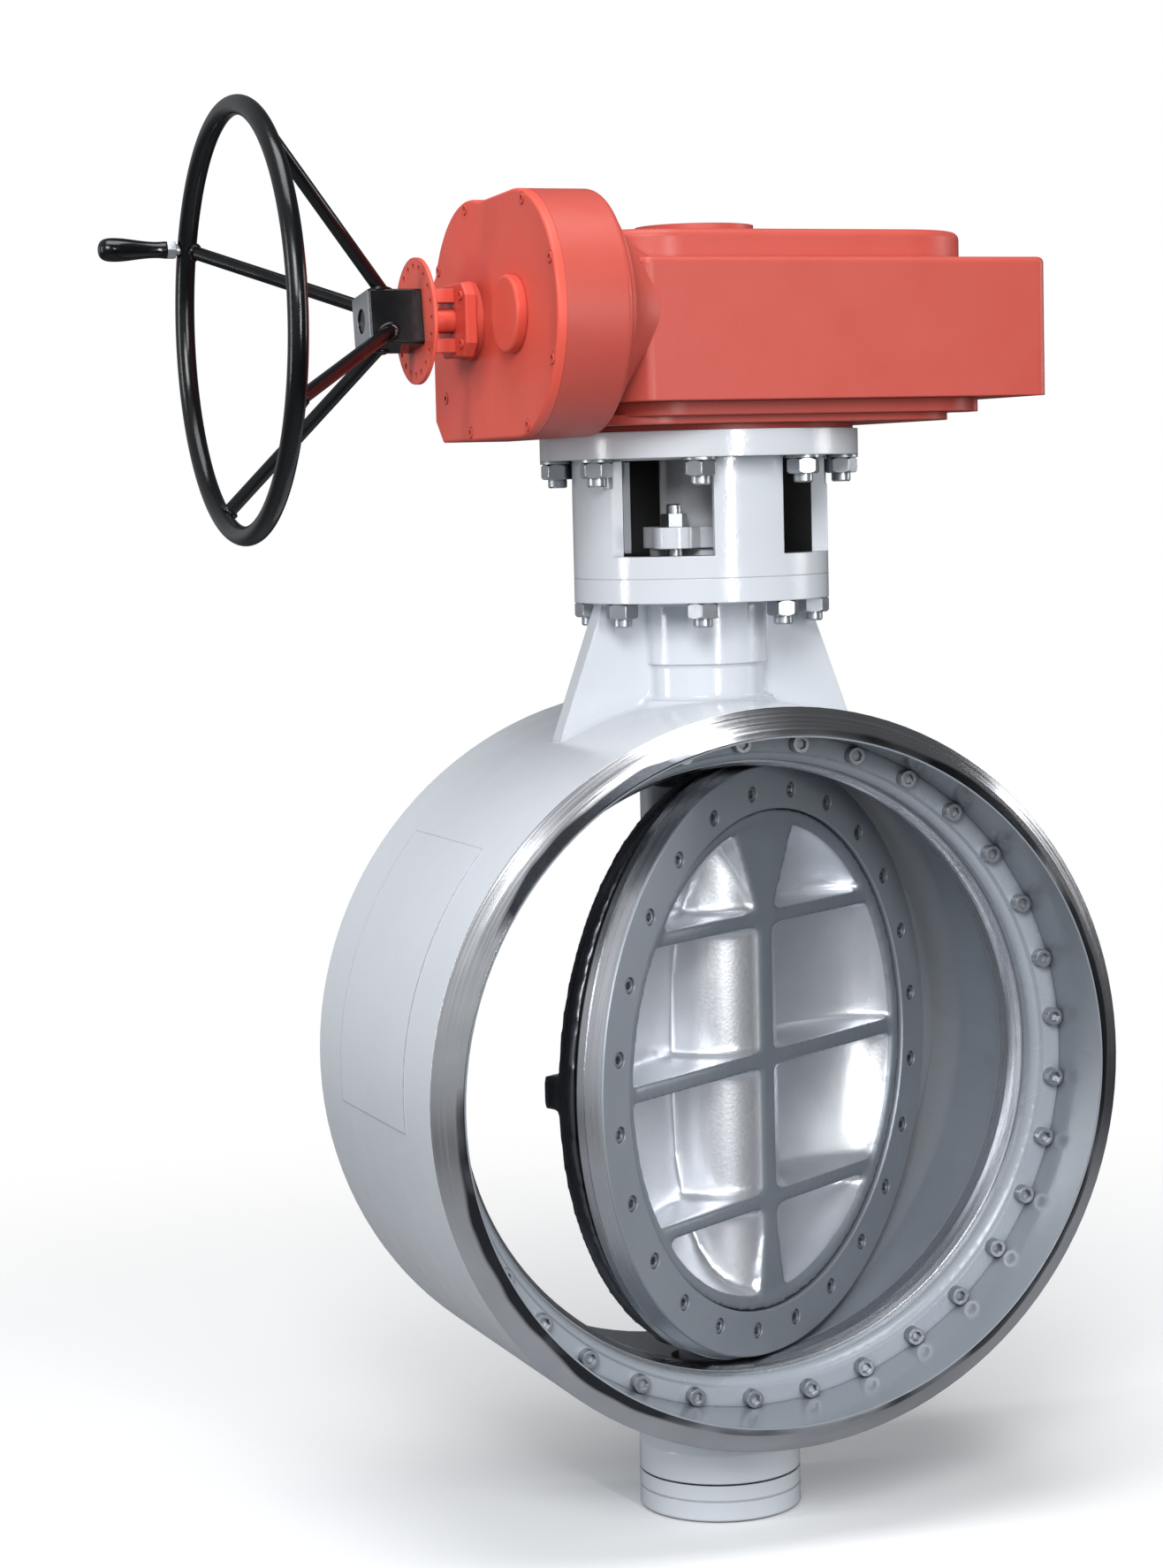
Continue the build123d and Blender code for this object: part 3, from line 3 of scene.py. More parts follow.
import bpy
from mathutils import Matrix, Vector


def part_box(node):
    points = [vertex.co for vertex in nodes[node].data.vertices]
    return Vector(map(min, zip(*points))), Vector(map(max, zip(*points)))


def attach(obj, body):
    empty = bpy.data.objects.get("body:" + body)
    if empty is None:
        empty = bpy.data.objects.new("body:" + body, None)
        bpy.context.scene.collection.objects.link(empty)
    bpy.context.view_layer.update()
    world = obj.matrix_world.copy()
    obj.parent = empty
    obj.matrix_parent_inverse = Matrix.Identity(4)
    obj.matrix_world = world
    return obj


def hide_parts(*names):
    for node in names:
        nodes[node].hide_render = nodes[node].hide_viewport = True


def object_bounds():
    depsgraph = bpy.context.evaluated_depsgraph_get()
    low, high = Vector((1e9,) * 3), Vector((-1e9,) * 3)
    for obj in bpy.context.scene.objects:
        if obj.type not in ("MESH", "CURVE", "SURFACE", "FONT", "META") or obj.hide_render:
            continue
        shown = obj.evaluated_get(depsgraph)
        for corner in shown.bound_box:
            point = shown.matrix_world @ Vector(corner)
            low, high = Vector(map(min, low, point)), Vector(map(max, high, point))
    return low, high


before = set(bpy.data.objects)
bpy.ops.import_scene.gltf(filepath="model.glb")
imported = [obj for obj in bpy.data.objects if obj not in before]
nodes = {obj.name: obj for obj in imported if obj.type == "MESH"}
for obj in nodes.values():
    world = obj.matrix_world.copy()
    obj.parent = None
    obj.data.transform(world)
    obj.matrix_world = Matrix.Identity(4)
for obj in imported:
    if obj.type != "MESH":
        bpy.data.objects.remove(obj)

cad_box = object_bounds()
scene = bpy.context.scene

# ---- Camera
# Stands in front of the inlet end and to its left, a little above the pipe's centre line,
# with a long lens so that the drum and the ring keep their true proportions. The turn is
# about the vertical, the dip is below the level, and the roll is about the line of sight.
CAMERA_SPOT = Vector((-1.386186, -3.268789, 0.606284))
CAMERA_TURN = -0.364020
CAMERA_DIP = 0.088307
CAMERA_ROLL = -0.024536
LENS = 77.14                # mm, on a sensor 36 mm wide
SENSOR_WIDTH = 36
CLIP_END = 100

camera_back = Vector((
    sin(CAMERA_TURN) * cos(CAMERA_DIP),
    -cos(CAMERA_TURN) * cos(CAMERA_DIP),
    sin(CAMERA_DIP),
))
camera_level = camera_back.cross(Vector((0, 0, -1))).normalized()
camera_rise = camera_back.cross(camera_level)
camera_side = cos(CAMERA_ROLL) * camera_level + sin(CAMERA_ROLL) * camera_rise
camera_up = camera_back.cross(camera_side)
bpy.ops.object.camera_add()
camera = bpy.context.object
camera.name = "camera"
camera.data.lens = LENS
camera.data.sensor_width = SENSOR_WIDTH
camera.data.clip_end = CLIP_END
camera.matrix_world = Matrix((
    (*camera_side, 0), (*camera_up, 0), (*camera_back, 0), (0, 0, 0, 1),
)).transposed()
camera.location = CAMERA_SPOT
scene.camera = camera


# ---- Studio
# A pale floor under the bottom cover, a big soft key light over the left shoulder, one
# overhead, a narrow strip in front for the long highlights, and a strip and a weak fill at
# the sides, in a room that looks white to the eye and casts less light from the right.
def add(tree, kind, settings=None, values=None, links=None):
    """Adds one shader node with its settings, its sockets' values and its links."""
    node = tree.nodes.new(kind)
    for name, setting in (settings or {}).items():
        setattr(node, name, setting)
    for name, value in (values or {}).items():
        node.inputs[name].default_value = value
    for name, source in (links or {}).items():
        tree.links.new(source, node.inputs[name])
    return node


def linear(sheet_colour):
    """An sRGB hex value as the linear colour that a shader takes."""
    parts = [int(sheet_colour[i:i + 2], 16) / 255 for i in (1, 3, 5)]
    return (*[p / 12.92 if p <= 0.04045 else ((p + 0.055) / 1.055) ** 2.4 for p in parts], 1.0)


def softbox(name, spot, aim, width, height, power):
    """A rectangular area light at spot, facing aim, unseen by the camera itself."""
    bpy.ops.object.light_add(type="AREA", location=spot)
    light = bpy.context.object
    light.name = name
    light.data.shape = "RECTANGLE"
    light.data.size = width
    light.data.size_y = height
    light.data.energy = power
    light.rotation_euler = (Vector(aim) - Vector(spot)).to_track_quat("-Z", "Y").to_euler()
    light.visible_camera = False


scene.view_settings.view_transform = "Standard"
softbox("key_light", (-2.1, -4.2, 2.5), (0, 0, 0.2), 1.8, 1.8, 178)
softbox("top_light", (-0.3, -0.9, 4.2), (0, 0, 0.3), 2.4, 2.4, 120)
softbox("front_strip", (0.35, -4.4, 0.9), (0, 0, 0.5), 0.16, 1.7, 75)
softbox("left_strip", (-4.4, 0.4, 1.0), (0, 0, 0.3), 0.5, 2.4, 52)
softbox("right_fill", (4.2, -1.0, 1.2), (0, 0, 0.2), 1.2, 1.8, 42)

room = bpy.data.worlds.new("studio")
scene.world = room
room.use_nodes = True
room_tree = room.node_tree
room_tree.nodes.clear()
facing = add(room_tree, "ShaderNodeTexCoord")
facing_parts = add(room_tree, "ShaderNodeSeparateXYZ", links={0: facing.outputs["Generated"]})
side_shade = add(room_tree, "ShaderNodeMapRange", {"interpolation_type": "SMOOTHSTEP"},
                 {"From Min": -0.7, "From Max": 0.55, "To Min": 0.52, "To Max": 0.10},
                 {"Value": facing_parts.outputs["X"]})
below_shade = add(room_tree, "ShaderNodeMapRange", {"interpolation_type": "SMOOTHSTEP"},
                  {"From Min": -0.35, "From Max": 0.02, "To Min": 0.35, "To Max": 1.0},
                  {"Value": facing_parts.outputs["Z"]})
room_shade = add(room_tree, "ShaderNodeMath", {"operation": "MULTIPLY"},
                 links={0: side_shade.outputs[0], 1: below_shade.outputs[0]})
seen_light = add(room_tree, "ShaderNodeBackground",
                 values={"Color": linear("#FFFFFF"), "Strength": 1.0})
lit_light = add(room_tree, "ShaderNodeBackground", values={"Color": linear("#F4F7FB")},
                links={"Strength": room_shade.outputs[0]})
eye_ray = add(room_tree, "ShaderNodeLightPath")
room_mix = add(room_tree, "ShaderNodeMixShader", links={
    0: eye_ray.outputs["Is Camera Ray"], 1: lit_light.outputs[0], 2: seen_light.outputs[0]})
add(room_tree, "ShaderNodeOutputWorld", links={"Surface": room_mix.outputs[0]})


def paint_tree(name):
    """A new material and its empty node tree."""
    material = bpy.data.materials.new(name)
    material.use_nodes = True
    material.node_tree.nodes.clear()
    return material, material.node_tree


def close_tree(tree, shader):
    """Makes a shader the material's surface."""
    add(tree, "ShaderNodeOutputMaterial", links={"Surface": shader.outputs[0]})


def surface_spot(tree):
    """Where a surface point lies in its own object's coordinates."""
    return add(tree, "ShaderNodeTexCoord").outputs["Object"]


def mask(tree, value, low, high, inside=1.0, outside=0.0, soft=False):
    """Goes from outside at low to inside at high along a value."""
    return add(tree, "ShaderNodeMapRange",
               {"interpolation_type": "SMOOTHSTEP" if soft else "LINEAR"},
               {"From Min": low, "From Max": high, "To Min": outside, "To Max": inside},
               {"Value": value}).outputs[0]


def distance_from(tree, place, axis):
    """How far a surface point is from one axis through the origin, and its place parts."""
    parts = add(tree, "ShaderNodeSeparateXYZ", links={0: place})
    across = [a for a in "XYZ" if a != axis]
    flat = add(tree, "ShaderNodeCombineXYZ",
               links={"X": parts.outputs[across[0]], "Y": parts.outputs[across[1]]})
    length = add(tree, "ShaderNodeVectorMath", {"operation": "LENGTH"}, links={0: flat.outputs[0]})
    return length.outputs["Value"], parts


# The floor is a vinyl sheet that fades out towards its rim, so that it has no visible edge.
FLOOR_R = 2.4
FLOOR_FADE_R = (0.5, 2.2)
FLOOR_GAP = 0.001           # between the bottom cover and the floor
floor_paint, tree = paint_tree("floor_vinyl")
place = surface_spot(tree)
mottle = add(tree, "ShaderNodeTexNoise", values={"Scale": 1.5, "Detail": 2.0},
             links={"Vector": place})
floor_tint = add(tree, "ShaderNodeMix", {"data_type": "RGBA"},
                 {6: linear("#F1F2F3"), 7: linear("#F6F7F8")}, {0: mottle.outputs["Fac"]})
seen = add(tree, "ShaderNodeLightPath").outputs["Is Camera Ray"]
floor_colour = add(tree, "ShaderNodeMix", {"data_type": "RGBA"}, {6: linear("#8E9093")},
                   {0: seen, 7: floor_tint.outputs[2]})
floor_shader = add(tree, "ShaderNodeBsdfPrincipled", values={"Roughness": 0.9},
                   links={"Base Color": floor_colour.outputs[2]})
clear = add(tree, "ShaderNodeBsdfTransparent")
floor_reach, _ = distance_from(tree, place, "Z")
floor_mix = add(tree, "ShaderNodeMixShader", links={
    0: mask(tree, floor_reach, *FLOOR_FADE_R, soft=True), 1: floor_shader.outputs[0],
    2: clear.outputs[0]})
close_tree(tree, floor_mix)
bpy.ops.object.select_all(action="DESELECT")
bpy.ops.mesh.primitive_circle_add(vertices=96, radius=FLOOR_R, fill_type="NGON",
                                  location=(0, 0, cad_box[0][2] - FLOOR_GAP))
floor = bpy.context.object
floor.name = "floor"
floor.data.materials.append(floor_paint)


# ---- Grey enamel on cast and fabricated steel
# Two-pack enamel sprayed over primer on the body, yoke, gland and covers: a light
# blue-grey gloss with a faint orange peel, and small sharp highlights on its waves.
def mm(size):
    """The noise scale at which one pattern cell is about this many millimetres."""
    return 1000.0 / size


def noise(tree, place, size, detail=2.0):
    """Noise with cells of about size millimetres, as a value from 0 to 1."""
    return add(tree, "ShaderNodeTexNoise", values={"Scale": mm(size), "Detail": detail},
               links={"Vector": place}).outputs["Fac"]


def tint(tree, dark, light, amount):
    """A colour between two sRGB hex values."""
    return add(tree, "ShaderNodeMix", {"data_type": "RGBA"}, {6: linear(dark), 7: linear(light)},
               {0: amount}).outputs[2]


def painted_corner_shade(tree, colour, depth, strength):
    """Darkens a colour in corners and recesses by how hidden they are, as painted shade."""
    hidden = add(tree, "ShaderNodeAmbientOcclusion", {"samples": 4}, {"Distance": depth})
    amount = mask(tree, hidden.outputs["AO"], 0.72, 0.2, inside=strength)
    return add(tree, "ShaderNodeMix", {"data_type": "RGBA", "blend_type": "MULTIPLY"},
               {7: (0.22, 0.23, 0.25, 1.0)}, {0: amount, 6: colour}).outputs[2]


def rounded_edges(tree, radius):
    """The surface's normal, turned over at sharp edges as a broken edge turns."""
    return add(tree, "ShaderNodeBevel", {"samples": 4}, {"Radius": radius}).outputs["Normal"]


def bumped(tree, height, normal, strength, depth):
    """A normal tilted by the slopes of a height pattern."""
    return add(tree, "ShaderNodeBump", values={"Strength": strength, "Distance": depth},
               links={"Height": height, "Normal": normal}).outputs["Normal"]


def enamel(tree, light, dark, roughness, peel=0.4, coat=0.0, shine=0.5):
    """Sprayed enamel: slow colour drift, thin paint at edges, painted shade in corners, orange
    peel and varying gloss.
    """
    place = surface_spot(tree)
    normal = rounded_edges(tree, 0.0022)
    true_normal = add(tree, "ShaderNodeNewGeometry").outputs["Normal"]
    flatness = add(tree, "ShaderNodeVectorMath", {"operation": "DOT_PRODUCT"},
                   links={0: normal, 1: true_normal}).outputs["Value"]
    colour = tint(tree, dark, light, noise(tree, place, 180, 3.0))
    thin = add(tree, "ShaderNodeMix", {"data_type": "RGBA", "blend_type": "MULTIPLY"},
               {7: (0.78, 0.78, 0.80, 1.0)},
               {0: mask(tree, flatness, 0.97, 0.80, inside=0.3), 6: colour}).outputs[2]
    wavy = bumped(tree, noise(tree, place, 28, 1.0), normal, 0.12, 0.0012)
    peeled = bumped(tree, noise(tree, place, 5), wavy, peel, 0.0004)
    return add(tree, "ShaderNodeBsdfPrincipled",
               values={"IOR": 1.52, "Specular IOR Level": shine, "Coat Weight": coat,
                       "Coat Roughness": 0.08},
               links={"Base Color": painted_corner_shade(tree, thin, 0.012, 0.5),
                      "Roughness": mask(tree, noise(tree, place, 45, 4.0), 0.3, 0.7,
                                        roughness + 0.07, roughness - 0.05),
                      "Normal": peeled})


def metal(tree, light, dark, roughness, grain, metallic=1.0, depth=0.0002):
    """Metal or dry stuff with an even grain (plating, casting skin, bronze or graphite), with
    painted shade in its corners.
    """
    place = surface_spot(tree)
    speck = noise(tree, place, grain, 3.0)
    colour = tint(tree, dark, light, noise(tree, place, grain * 14, 5.0))
    return add(tree, "ShaderNodeBsdfPrincipled", values={"Metallic": metallic},
               links={"Base Color": painted_corner_shade(tree, colour, 0.006, 0.9),
                      "Roughness": mask(tree, speck, 0.0, 1.0, roughness + 0.10, roughness - 0.08),
                      "Normal": bumped(tree, speck, rounded_edges(tree, 0.0009), 0.3, depth)})


def turned(tree, light, dark, roughness, axis, centre=(0, 0, 0), turn=0.0, pitch=1.2,
           metallic=1.0):
    """Lathe-turned metal, whose fine marks run round one axis through centre, with painted shade
    in its corners.
    """
    place = surface_spot(tree)
    centred = add(tree, "ShaderNodeMapping", {"vector_type": "TEXTURE"},
                  {"Location": centre, "Rotation": (0, 0, turn)}, {"Vector": place}).outputs[0]
    radius, parts = distance_from(tree, centred, axis)
    across = [a for a in "XYZ" if a != axis]
    angle = add(tree, "ShaderNodeMath", {"operation": "ARCTAN2"},
                links={0: parts.outputs[across[0]], 1: parts.outputs[across[1]]}).outputs[0]
    ring_spot = add(tree, "ShaderNodeCombineXYZ",
                    links={"X": angle, "Y": radius, "Z": parts.outputs[axis]}).outputs[0]
    stretched = add(tree, "ShaderNodeMapping", values={"Scale": (2.0, mm(pitch), mm(pitch))},
                    links={"Vector": ring_spot}).outputs[0]
    rings = add(tree, "ShaderNodeTexNoise", values={"Scale": 1.0, "Detail": 2.0},
                links={"Vector": stretched}).outputs["Fac"]
    colour = tint(tree, dark, light, noise(tree, place, 70, 4.0))
    return add(tree, "ShaderNodeBsdfPrincipled", values={"Metallic": metallic},
               links={"Base Color": painted_corner_shade(tree, colour, 0.006, 0.7),
                      "Roughness": mask(tree, rings, 0.2, 0.8, roughness + 0.10, roughness - 0.08),
                      "Normal": bumped(tree, rings, rounded_edges(tree, 0.0012), 0.25, 0.0003)})


def finish(name, make, *sizes, **more):
    """A material of one finish."""
    material, tree = paint_tree(name)
    close_tree(tree, make(tree, *sizes, **more))
    return material


def two_finishes(tree, amount, under, over):
    """Shows over where amount is 1 and under where it is 0."""
    return add(tree, "ShaderNodeMixShader",
               links={0: amount, 1: under.outputs[0], 2: over.outputs[0]})


def put_on(material, *names):
    """Gives CAD nodes their finish in place of the plain one."""
    for name in names:
        mesh = nodes[name].data
        mesh.materials.clear()
        mesh.materials.append(material)


PAINT_EDGE = 0.0003         # how far one finish takes to give way to the next
GREY = ("#CDD2D8", "#C6CBD2", 0.17)
grey_enamel = finish("grey_enamel_on_steel", enamel, *GREY)
put_on(grey_enamel, "gland_flange", "bottom_cover", "nameplate")

# ---- Yoke: a fabricated steel ring with four windows between the body and the gearbox
# Enamelled outside and on the window edges; inside it keeps only black primer.
YOKE_INSIDE_R = 0.1172
yoke_paint, tree = paint_tree("grey_enamel_over_black_primer")
yoke_r, _ = distance_from(tree, surface_spot(tree), "Z")
primer = metal(tree, "#1B1E21", "#101214", 0.62, 2.5, metallic=0.0)
close_tree(tree, two_finishes(tree, mask(tree, yoke_r, YOKE_INSIDE_R + PAINT_EDGE, YOKE_INSIDE_R),
                              enamel(tree, *GREY), primer))
put_on(yoke_paint, "yoke")

# ---- Valve body: a rolled and welded steel barrel with its neck, ribs and bearing boss
# Light enamel outside and a darker lining paint in the bore, the lining's darkness partly painted
# shade for the inside of the bore. Both weld preparations are left bare and bright from the lathe,
# so the paint stops at the outer edge of each bevel, and the bevels carry painted dark
# reflections.
BEVEL_EDGE_Y = (-0.1938, 0.1808)
BEVEL_BLEND = 0.0002
BORE_EDGE_R = 0.3525
INNER_STEP_R = (0.3665, 0.3590)
DARK_REFLECTION_CUT = (0.54, 0.68)
SHADED_LINING = ("#868D95", "#7C838B", 0.20)
body_paint, tree = paint_tree("grey_enamel_lining_and_turned_bevels")
body_spot = surface_spot(tree)
body_r, body_parts = distance_from(tree, body_spot, "Y")
body_y = body_parts.outputs["Y"]
at_inlet = mask(tree, body_y, BEVEL_EDGE_Y[0] + BEVEL_BLEND, BEVEL_EDGE_Y[0])
at_outlet = mask(tree, body_y, BEVEL_EDGE_Y[1], BEVEL_EDGE_Y[1] + BEVEL_BLEND)
at_end = add(tree, "ShaderNodeMath", {"operation": "MAXIMUM"},
             links={0: at_inlet, 1: at_outlet}).outputs[0]
in_bore = mask(tree, body_r, BORE_EDGE_R + BEVEL_BLEND, BORE_EDGE_R)
# the lining's darker grey is partly painted shade for the inside of the bore
painted = two_finishes(tree, in_bore, enamel(tree, *GREY), enamel(tree, *SHADED_LINING, coat=0.3))
clean_steel = turned(tree, "#E4E5E8", "#B4B6BB", 0.17, "Y", pitch=2.4)
# the inner step and long patches of both bevels are painted dark: painted reflections on the bare
# steel
dark_reflection_patches = add(tree, "ShaderNodeMath", {"operation": "ADD"}, links={
    0: noise(tree, body_spot, 130, 2.0),
    1: mask(tree, body_r, *INNER_STEP_R, inside=0.16, outside=-0.16)}).outputs[0]
# dark steel that stands for a painted dark reflection on the bevels
dark_reflection_steel = metal(tree, "#46484D", "#33353A", 0.22, 2.0)
bevel_steel = two_finishes(tree, mask(tree, dark_reflection_patches, *DARK_REFLECTION_CUT), clean_steel, dark_reflection_steel)
outside_bore = add(tree, "ShaderNodeMath", {"operation": "SUBTRACT"}, {0: 1.0},
                   {1: in_bore}).outputs[0]
bare = add(tree, "ShaderNodeMath", {"operation": "MULTIPLY"},
           links={0: at_end, 1: outside_bore}).outputs[0]
close_tree(tree, two_finishes(tree, bare, painted, bevel_steel))
put_on(body_paint, "valve_body")
put_on(finish("grey_lining_on_ring", enamel, "#9AA1A9", "#8F969E", 0.24), "body_retaining_ring")


def deselect():
    """Leaves no object selected."""
    bpy.ops.object.select_all(action="DESELECT")


def copy_of(name, new_name):
    """A separate mesh object with a CAD node's shape, its loose triangles merged."""
    deselect()
    source = nodes[name]
    piece = bpy.data.objects.new(new_name, source.data.copy())
    scene.collection.objects.link(piece)
    piece.select_set(True)
    bpy.context.view_layer.objects.active = piece
    bpy.ops.object.mode_set(mode="EDIT")
    bpy.ops.mesh.select_all(action="SELECT")
    bpy.ops.mesh.remove_doubles(threshold=0.00002)
    bpy.ops.mesh.customdata_custom_splitnormals_clear()
    bpy.ops.object.mode_set(mode="OBJECT")
    return piece


def apply_modifier(piece, kind, **settings):
    """Adds a modifier with its settings and applies it at once."""
    modifier = piece.modifiers.new(kind.lower(), kind)
    for name, setting in settings.items():
        setattr(modifier, name, setting)
    bpy.context.view_layer.objects.active = piece
    bpy.ops.object.modifier_apply(modifier=modifier.name)


# The neck is welded and dressed: its radii fill the corners where the neck, the pad and
# the ribs meet the barrel. They are drawn from the body's own shape, softened, and lie
# just under the flat paint so that only the filled corners show.
NECK_Z = (0.335, 0.492)     # bottom and top of the stretch that holds the welds
NECK_HALF_Y = 0.11
WELD_VOXEL = 0.0026
WELD_SMOOTHING = 14
WELD_SINK = 0.00045
fillets = copy_of("valve_body", "neck_weld_fillets")
bpy.ops.object.mode_set(mode="EDIT")
for cut_spot, cut_axis, cut_side in (
        ((0, 0, NECK_Z[0]), (0, 0, 1), "clear_inner"),
        ((0, 0, NECK_Z[1]), (0, 0, 1), "clear_outer"),
        ((0, -NECK_HALF_Y, 0), (0, 1, 0), "clear_inner"),
        ((0, NECK_HALF_Y, 0), (0, 1, 0), "clear_outer")):
    bpy.ops.mesh.select_all(action="SELECT")
    bpy.ops.mesh.bisect(plane_co=cut_spot, plane_no=cut_axis, use_fill=True, **{cut_side: True})
bpy.ops.object.mode_set(mode="OBJECT")
apply_modifier(fillets, "REMESH", mode="VOXEL", voxel_size=WELD_VOXEL, adaptivity=0.0)
apply_modifier(fillets, "SMOOTH", factor=0.5, iterations=WELD_SMOOTHING)
apply_modifier(fillets, "DISPLACE", strength=-WELD_SINK, mid_level=0.0)
fillets.data.materials.clear()
fillets.data.materials.append(grey_enamel)
deselect()
fillets.select_set(True)
bpy.ops.object.shade_smooth()
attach(fillets, "root")

# ---- Seat ring, bushes and stem
# The seat is turned stainless; the stem is primed grey where it crosses the yoke.
put_on(finish("turned_stainless_seat", turned, "#DCDDE0", "#B9BCC2", 0.26, "Y"), "body_seat_ring")
ground_steel = finish("ground_steel", turned, "#C4C6C9", "#9A9DA3", 0.24, "Z")
put_on(ground_steel, "thrust_washer", "stem_key")
put_on(finish("grey_primer_on_stem", enamel, "#D3D7DC", "#C8CCD2", 0.18), "valve_stem",
       "gland_bush")
drive_z = (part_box("input_shaft")[0].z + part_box("input_shaft")[1].z) / 2
worm_y = (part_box("worm_shaft")[0].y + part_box("worm_shaft")[1].y) / 2
input_y = (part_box("input_shaft")[0].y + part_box("input_shaft")[1].y) / 2
put_on(finish("ground_worm_steel", turned, "#C4C6C9", "#9A9DA3", 0.22, "X", (0, worm_y, drive_z)),
       "worm_shaft", "spur_gear", "worm_bearings")
put_on(finish("ground_pinion_steel", turned, "#C4C6C9", "#9A9DA3", 0.22, "X",
              (0, input_y, drive_z)), "input_pinion")
graphite = finish("pressed_graphite", metal, "#26282B", "#141517", 0.55, 1.5, metallic=0.2)
put_on(graphite, "disc_seal_gasket", "stem_packing", "bottom_cover_gasket")
put_on(finish("bearing_bronze", metal, "#B98A4A", "#8E6431", 0.35, 2.0), "upper_stem_bush",
       "lower_stem_bush", "wheel_lower_bush", "wheel_upper_bush", "worm_wheel", "input_bearings")

# ---- Disc retaining ring and seal
# A satin stainless ring whose coned edge is polished clamps the bright seal on the disc,
# with the graphite gasket behind it as a thin black line.
OPEN_TURN = radians(33.2)   # how far the disc stands open
RING_CONE_R = 0.3122


def disc_spot(tree):
    """Where a surface point lies in the disc's own axes, its opening turned back."""
    return add(tree, "ShaderNodeMapping", {"vector_type": "TEXTURE"},
               {"Rotation": (0, 0, OPEN_TURN)}, {"Vector": surface_spot(tree)}).outputs[0]


ring_steel, tree = paint_tree("satin_ring_with_polished_cone")
ring_r, _ = distance_from(tree, disc_spot(tree), "Y")
satin = turned(tree, "#9AA0A7", "#8E949C", 0.46, "Y", turn=OPEN_TURN, metallic=0.6)
polished = turned(tree, "#D6D8DC", "#BCBFC5", 0.30, "Y", turn=OPEN_TURN)
at_cone = mask(tree, ring_r, RING_CONE_R, RING_CONE_R + PAINT_EDGE)
close_tree(tree, two_finishes(tree, at_cone, satin, polished))
put_on(ring_steel, "disc_retaining_ring")
put_on(finish("bright_seal_steel", turned, "#D8DADD", "#A9ACB2", 0.22, "Y", turn=OPEN_TURN),
       "disc_seal_ring")

# ---- Disc: one steel casting with a dished face, a hub, a web and three cross ribs
# Sprayed with a thin silver coat over the casting skin, which was rubbed duller on the faces
# of the web, ribs and lip. Inner corners have casting radii; the outer edge is turned dark.
CASTING_EDGE_R = 0.2995
CASTING_EDGE_BLEND = 0.0004
RUBBED_Y = (-0.0698, -0.0716)   # the faces of the web, ribs and lip lie beyond this
CASTING_VOXEL = 0.0040
CASTING_SMOOTHING = 3
disc_coat, tree = paint_tree("silver_coated_casting_with_turned_edge")
edge_r, casting_parts = distance_from(tree, disc_spot(tree), "Y")
silver = metal(tree, "#DFE2E6", "#C8CBD1", 0.38, 3.5, metallic=0.85, depth=0.0005)
face_grey = metal(tree, "#8F969D", "#838A92", 0.46, 3.0, metallic=0.6)
dark_edge = turned(tree, "#6B6C70", "#55565B", 0.30, "Y", turn=OPEN_TURN)
on_faces = mask(tree, casting_parts.outputs["Y"], *RUBBED_Y)
on_edge = mask(tree, edge_r, CASTING_EDGE_R, CASTING_EDGE_R + CASTING_EDGE_BLEND)
faced = two_finishes(tree, on_faces, silver, face_grey)
close_tree(tree, two_finishes(tree, on_edge, faced, dark_edge))
casting = copy_of("valve_disc", "disc_casting")
apply_modifier(casting, "REMESH", mode="VOXEL", voxel_size=CASTING_VOXEL, adaptivity=0.0)
apply_modifier(casting, "SMOOTH", factor=0.5, iterations=CASTING_SMOOTHING)
casting.data.materials.clear()
casting.data.materials.append(disc_coat)
bpy.ops.object.shade_smooth()
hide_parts("valve_disc")
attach(casting, "disc_and_stem")
put_on(disc_coat, "valve_disc", "disc_taper_pins")

# ---- Fasteners
# Zinc-plated studs, nuts and cap screws, bluish white and slightly uneven.
zinc = finish("bright_zinc_plate", metal, "#B9BDC2", "#9EA2A8", 0.36, 1.8)
put_on(zinc, "retaining_ring_screws", "gland_studs", "gland_nuts", "yoke_studs", "yoke_nuts",
       "gearbox_studs", "gearbox_nuts", "gearbox_washers", "disc_ring_screws",
       "bottom_cover_screws", "grip_spindle")

# Nuts under both flanges: plated hexagons whose corners are turned back at both ends,
# run up the studs by hand, so no two stand at quite the same angle.
NUT_CORNER_R = 0.0173
NUT_H = 0.016
NUT_TURNED_BACK = 0.0022    # how much the corners lose at both ends
NUT_BROKEN_EDGE = 0.0005
NUT_CIRCLES = (("gearbox_nuts", 0.149), ("yoke_nuts", 0.117))
NUTS_ROUND = 8
FIRST_NUT = 22.5
deselect()
bpy.ops.mesh.primitive_cylinder_add(vertices=50, radius=NUT_CORNER_R - 0.0002, depth=NUT_H)
blank = bpy.context.object
bpy.ops.object.mode_set(mode="EDIT")
bpy.ops.mesh.select_mode(type="EDGE")
bpy.ops.mesh.select_all(action="DESELECT")
bpy.ops.mesh.edges_select_sharp(sharpness=radians(60))
bpy.ops.mesh.bevel(offset=NUT_TURNED_BACK, segments=1)
bpy.ops.object.mode_set(mode="OBJECT")
bpy.ops.mesh.primitive_cylinder_add(vertices=6, radius=NUT_CORNER_R, depth=NUT_H * 1.2)
nut = bpy.context.object
apply_modifier(nut, "BOOLEAN", operation="INTERSECT", object=blank, solver="EXACT")
bpy.data.objects.remove(blank)
apply_modifier(nut, "BEVEL", width=NUT_BROKEN_EDGE, segments=2, limit_method="ANGLE",
               angle_limit=radians(20))
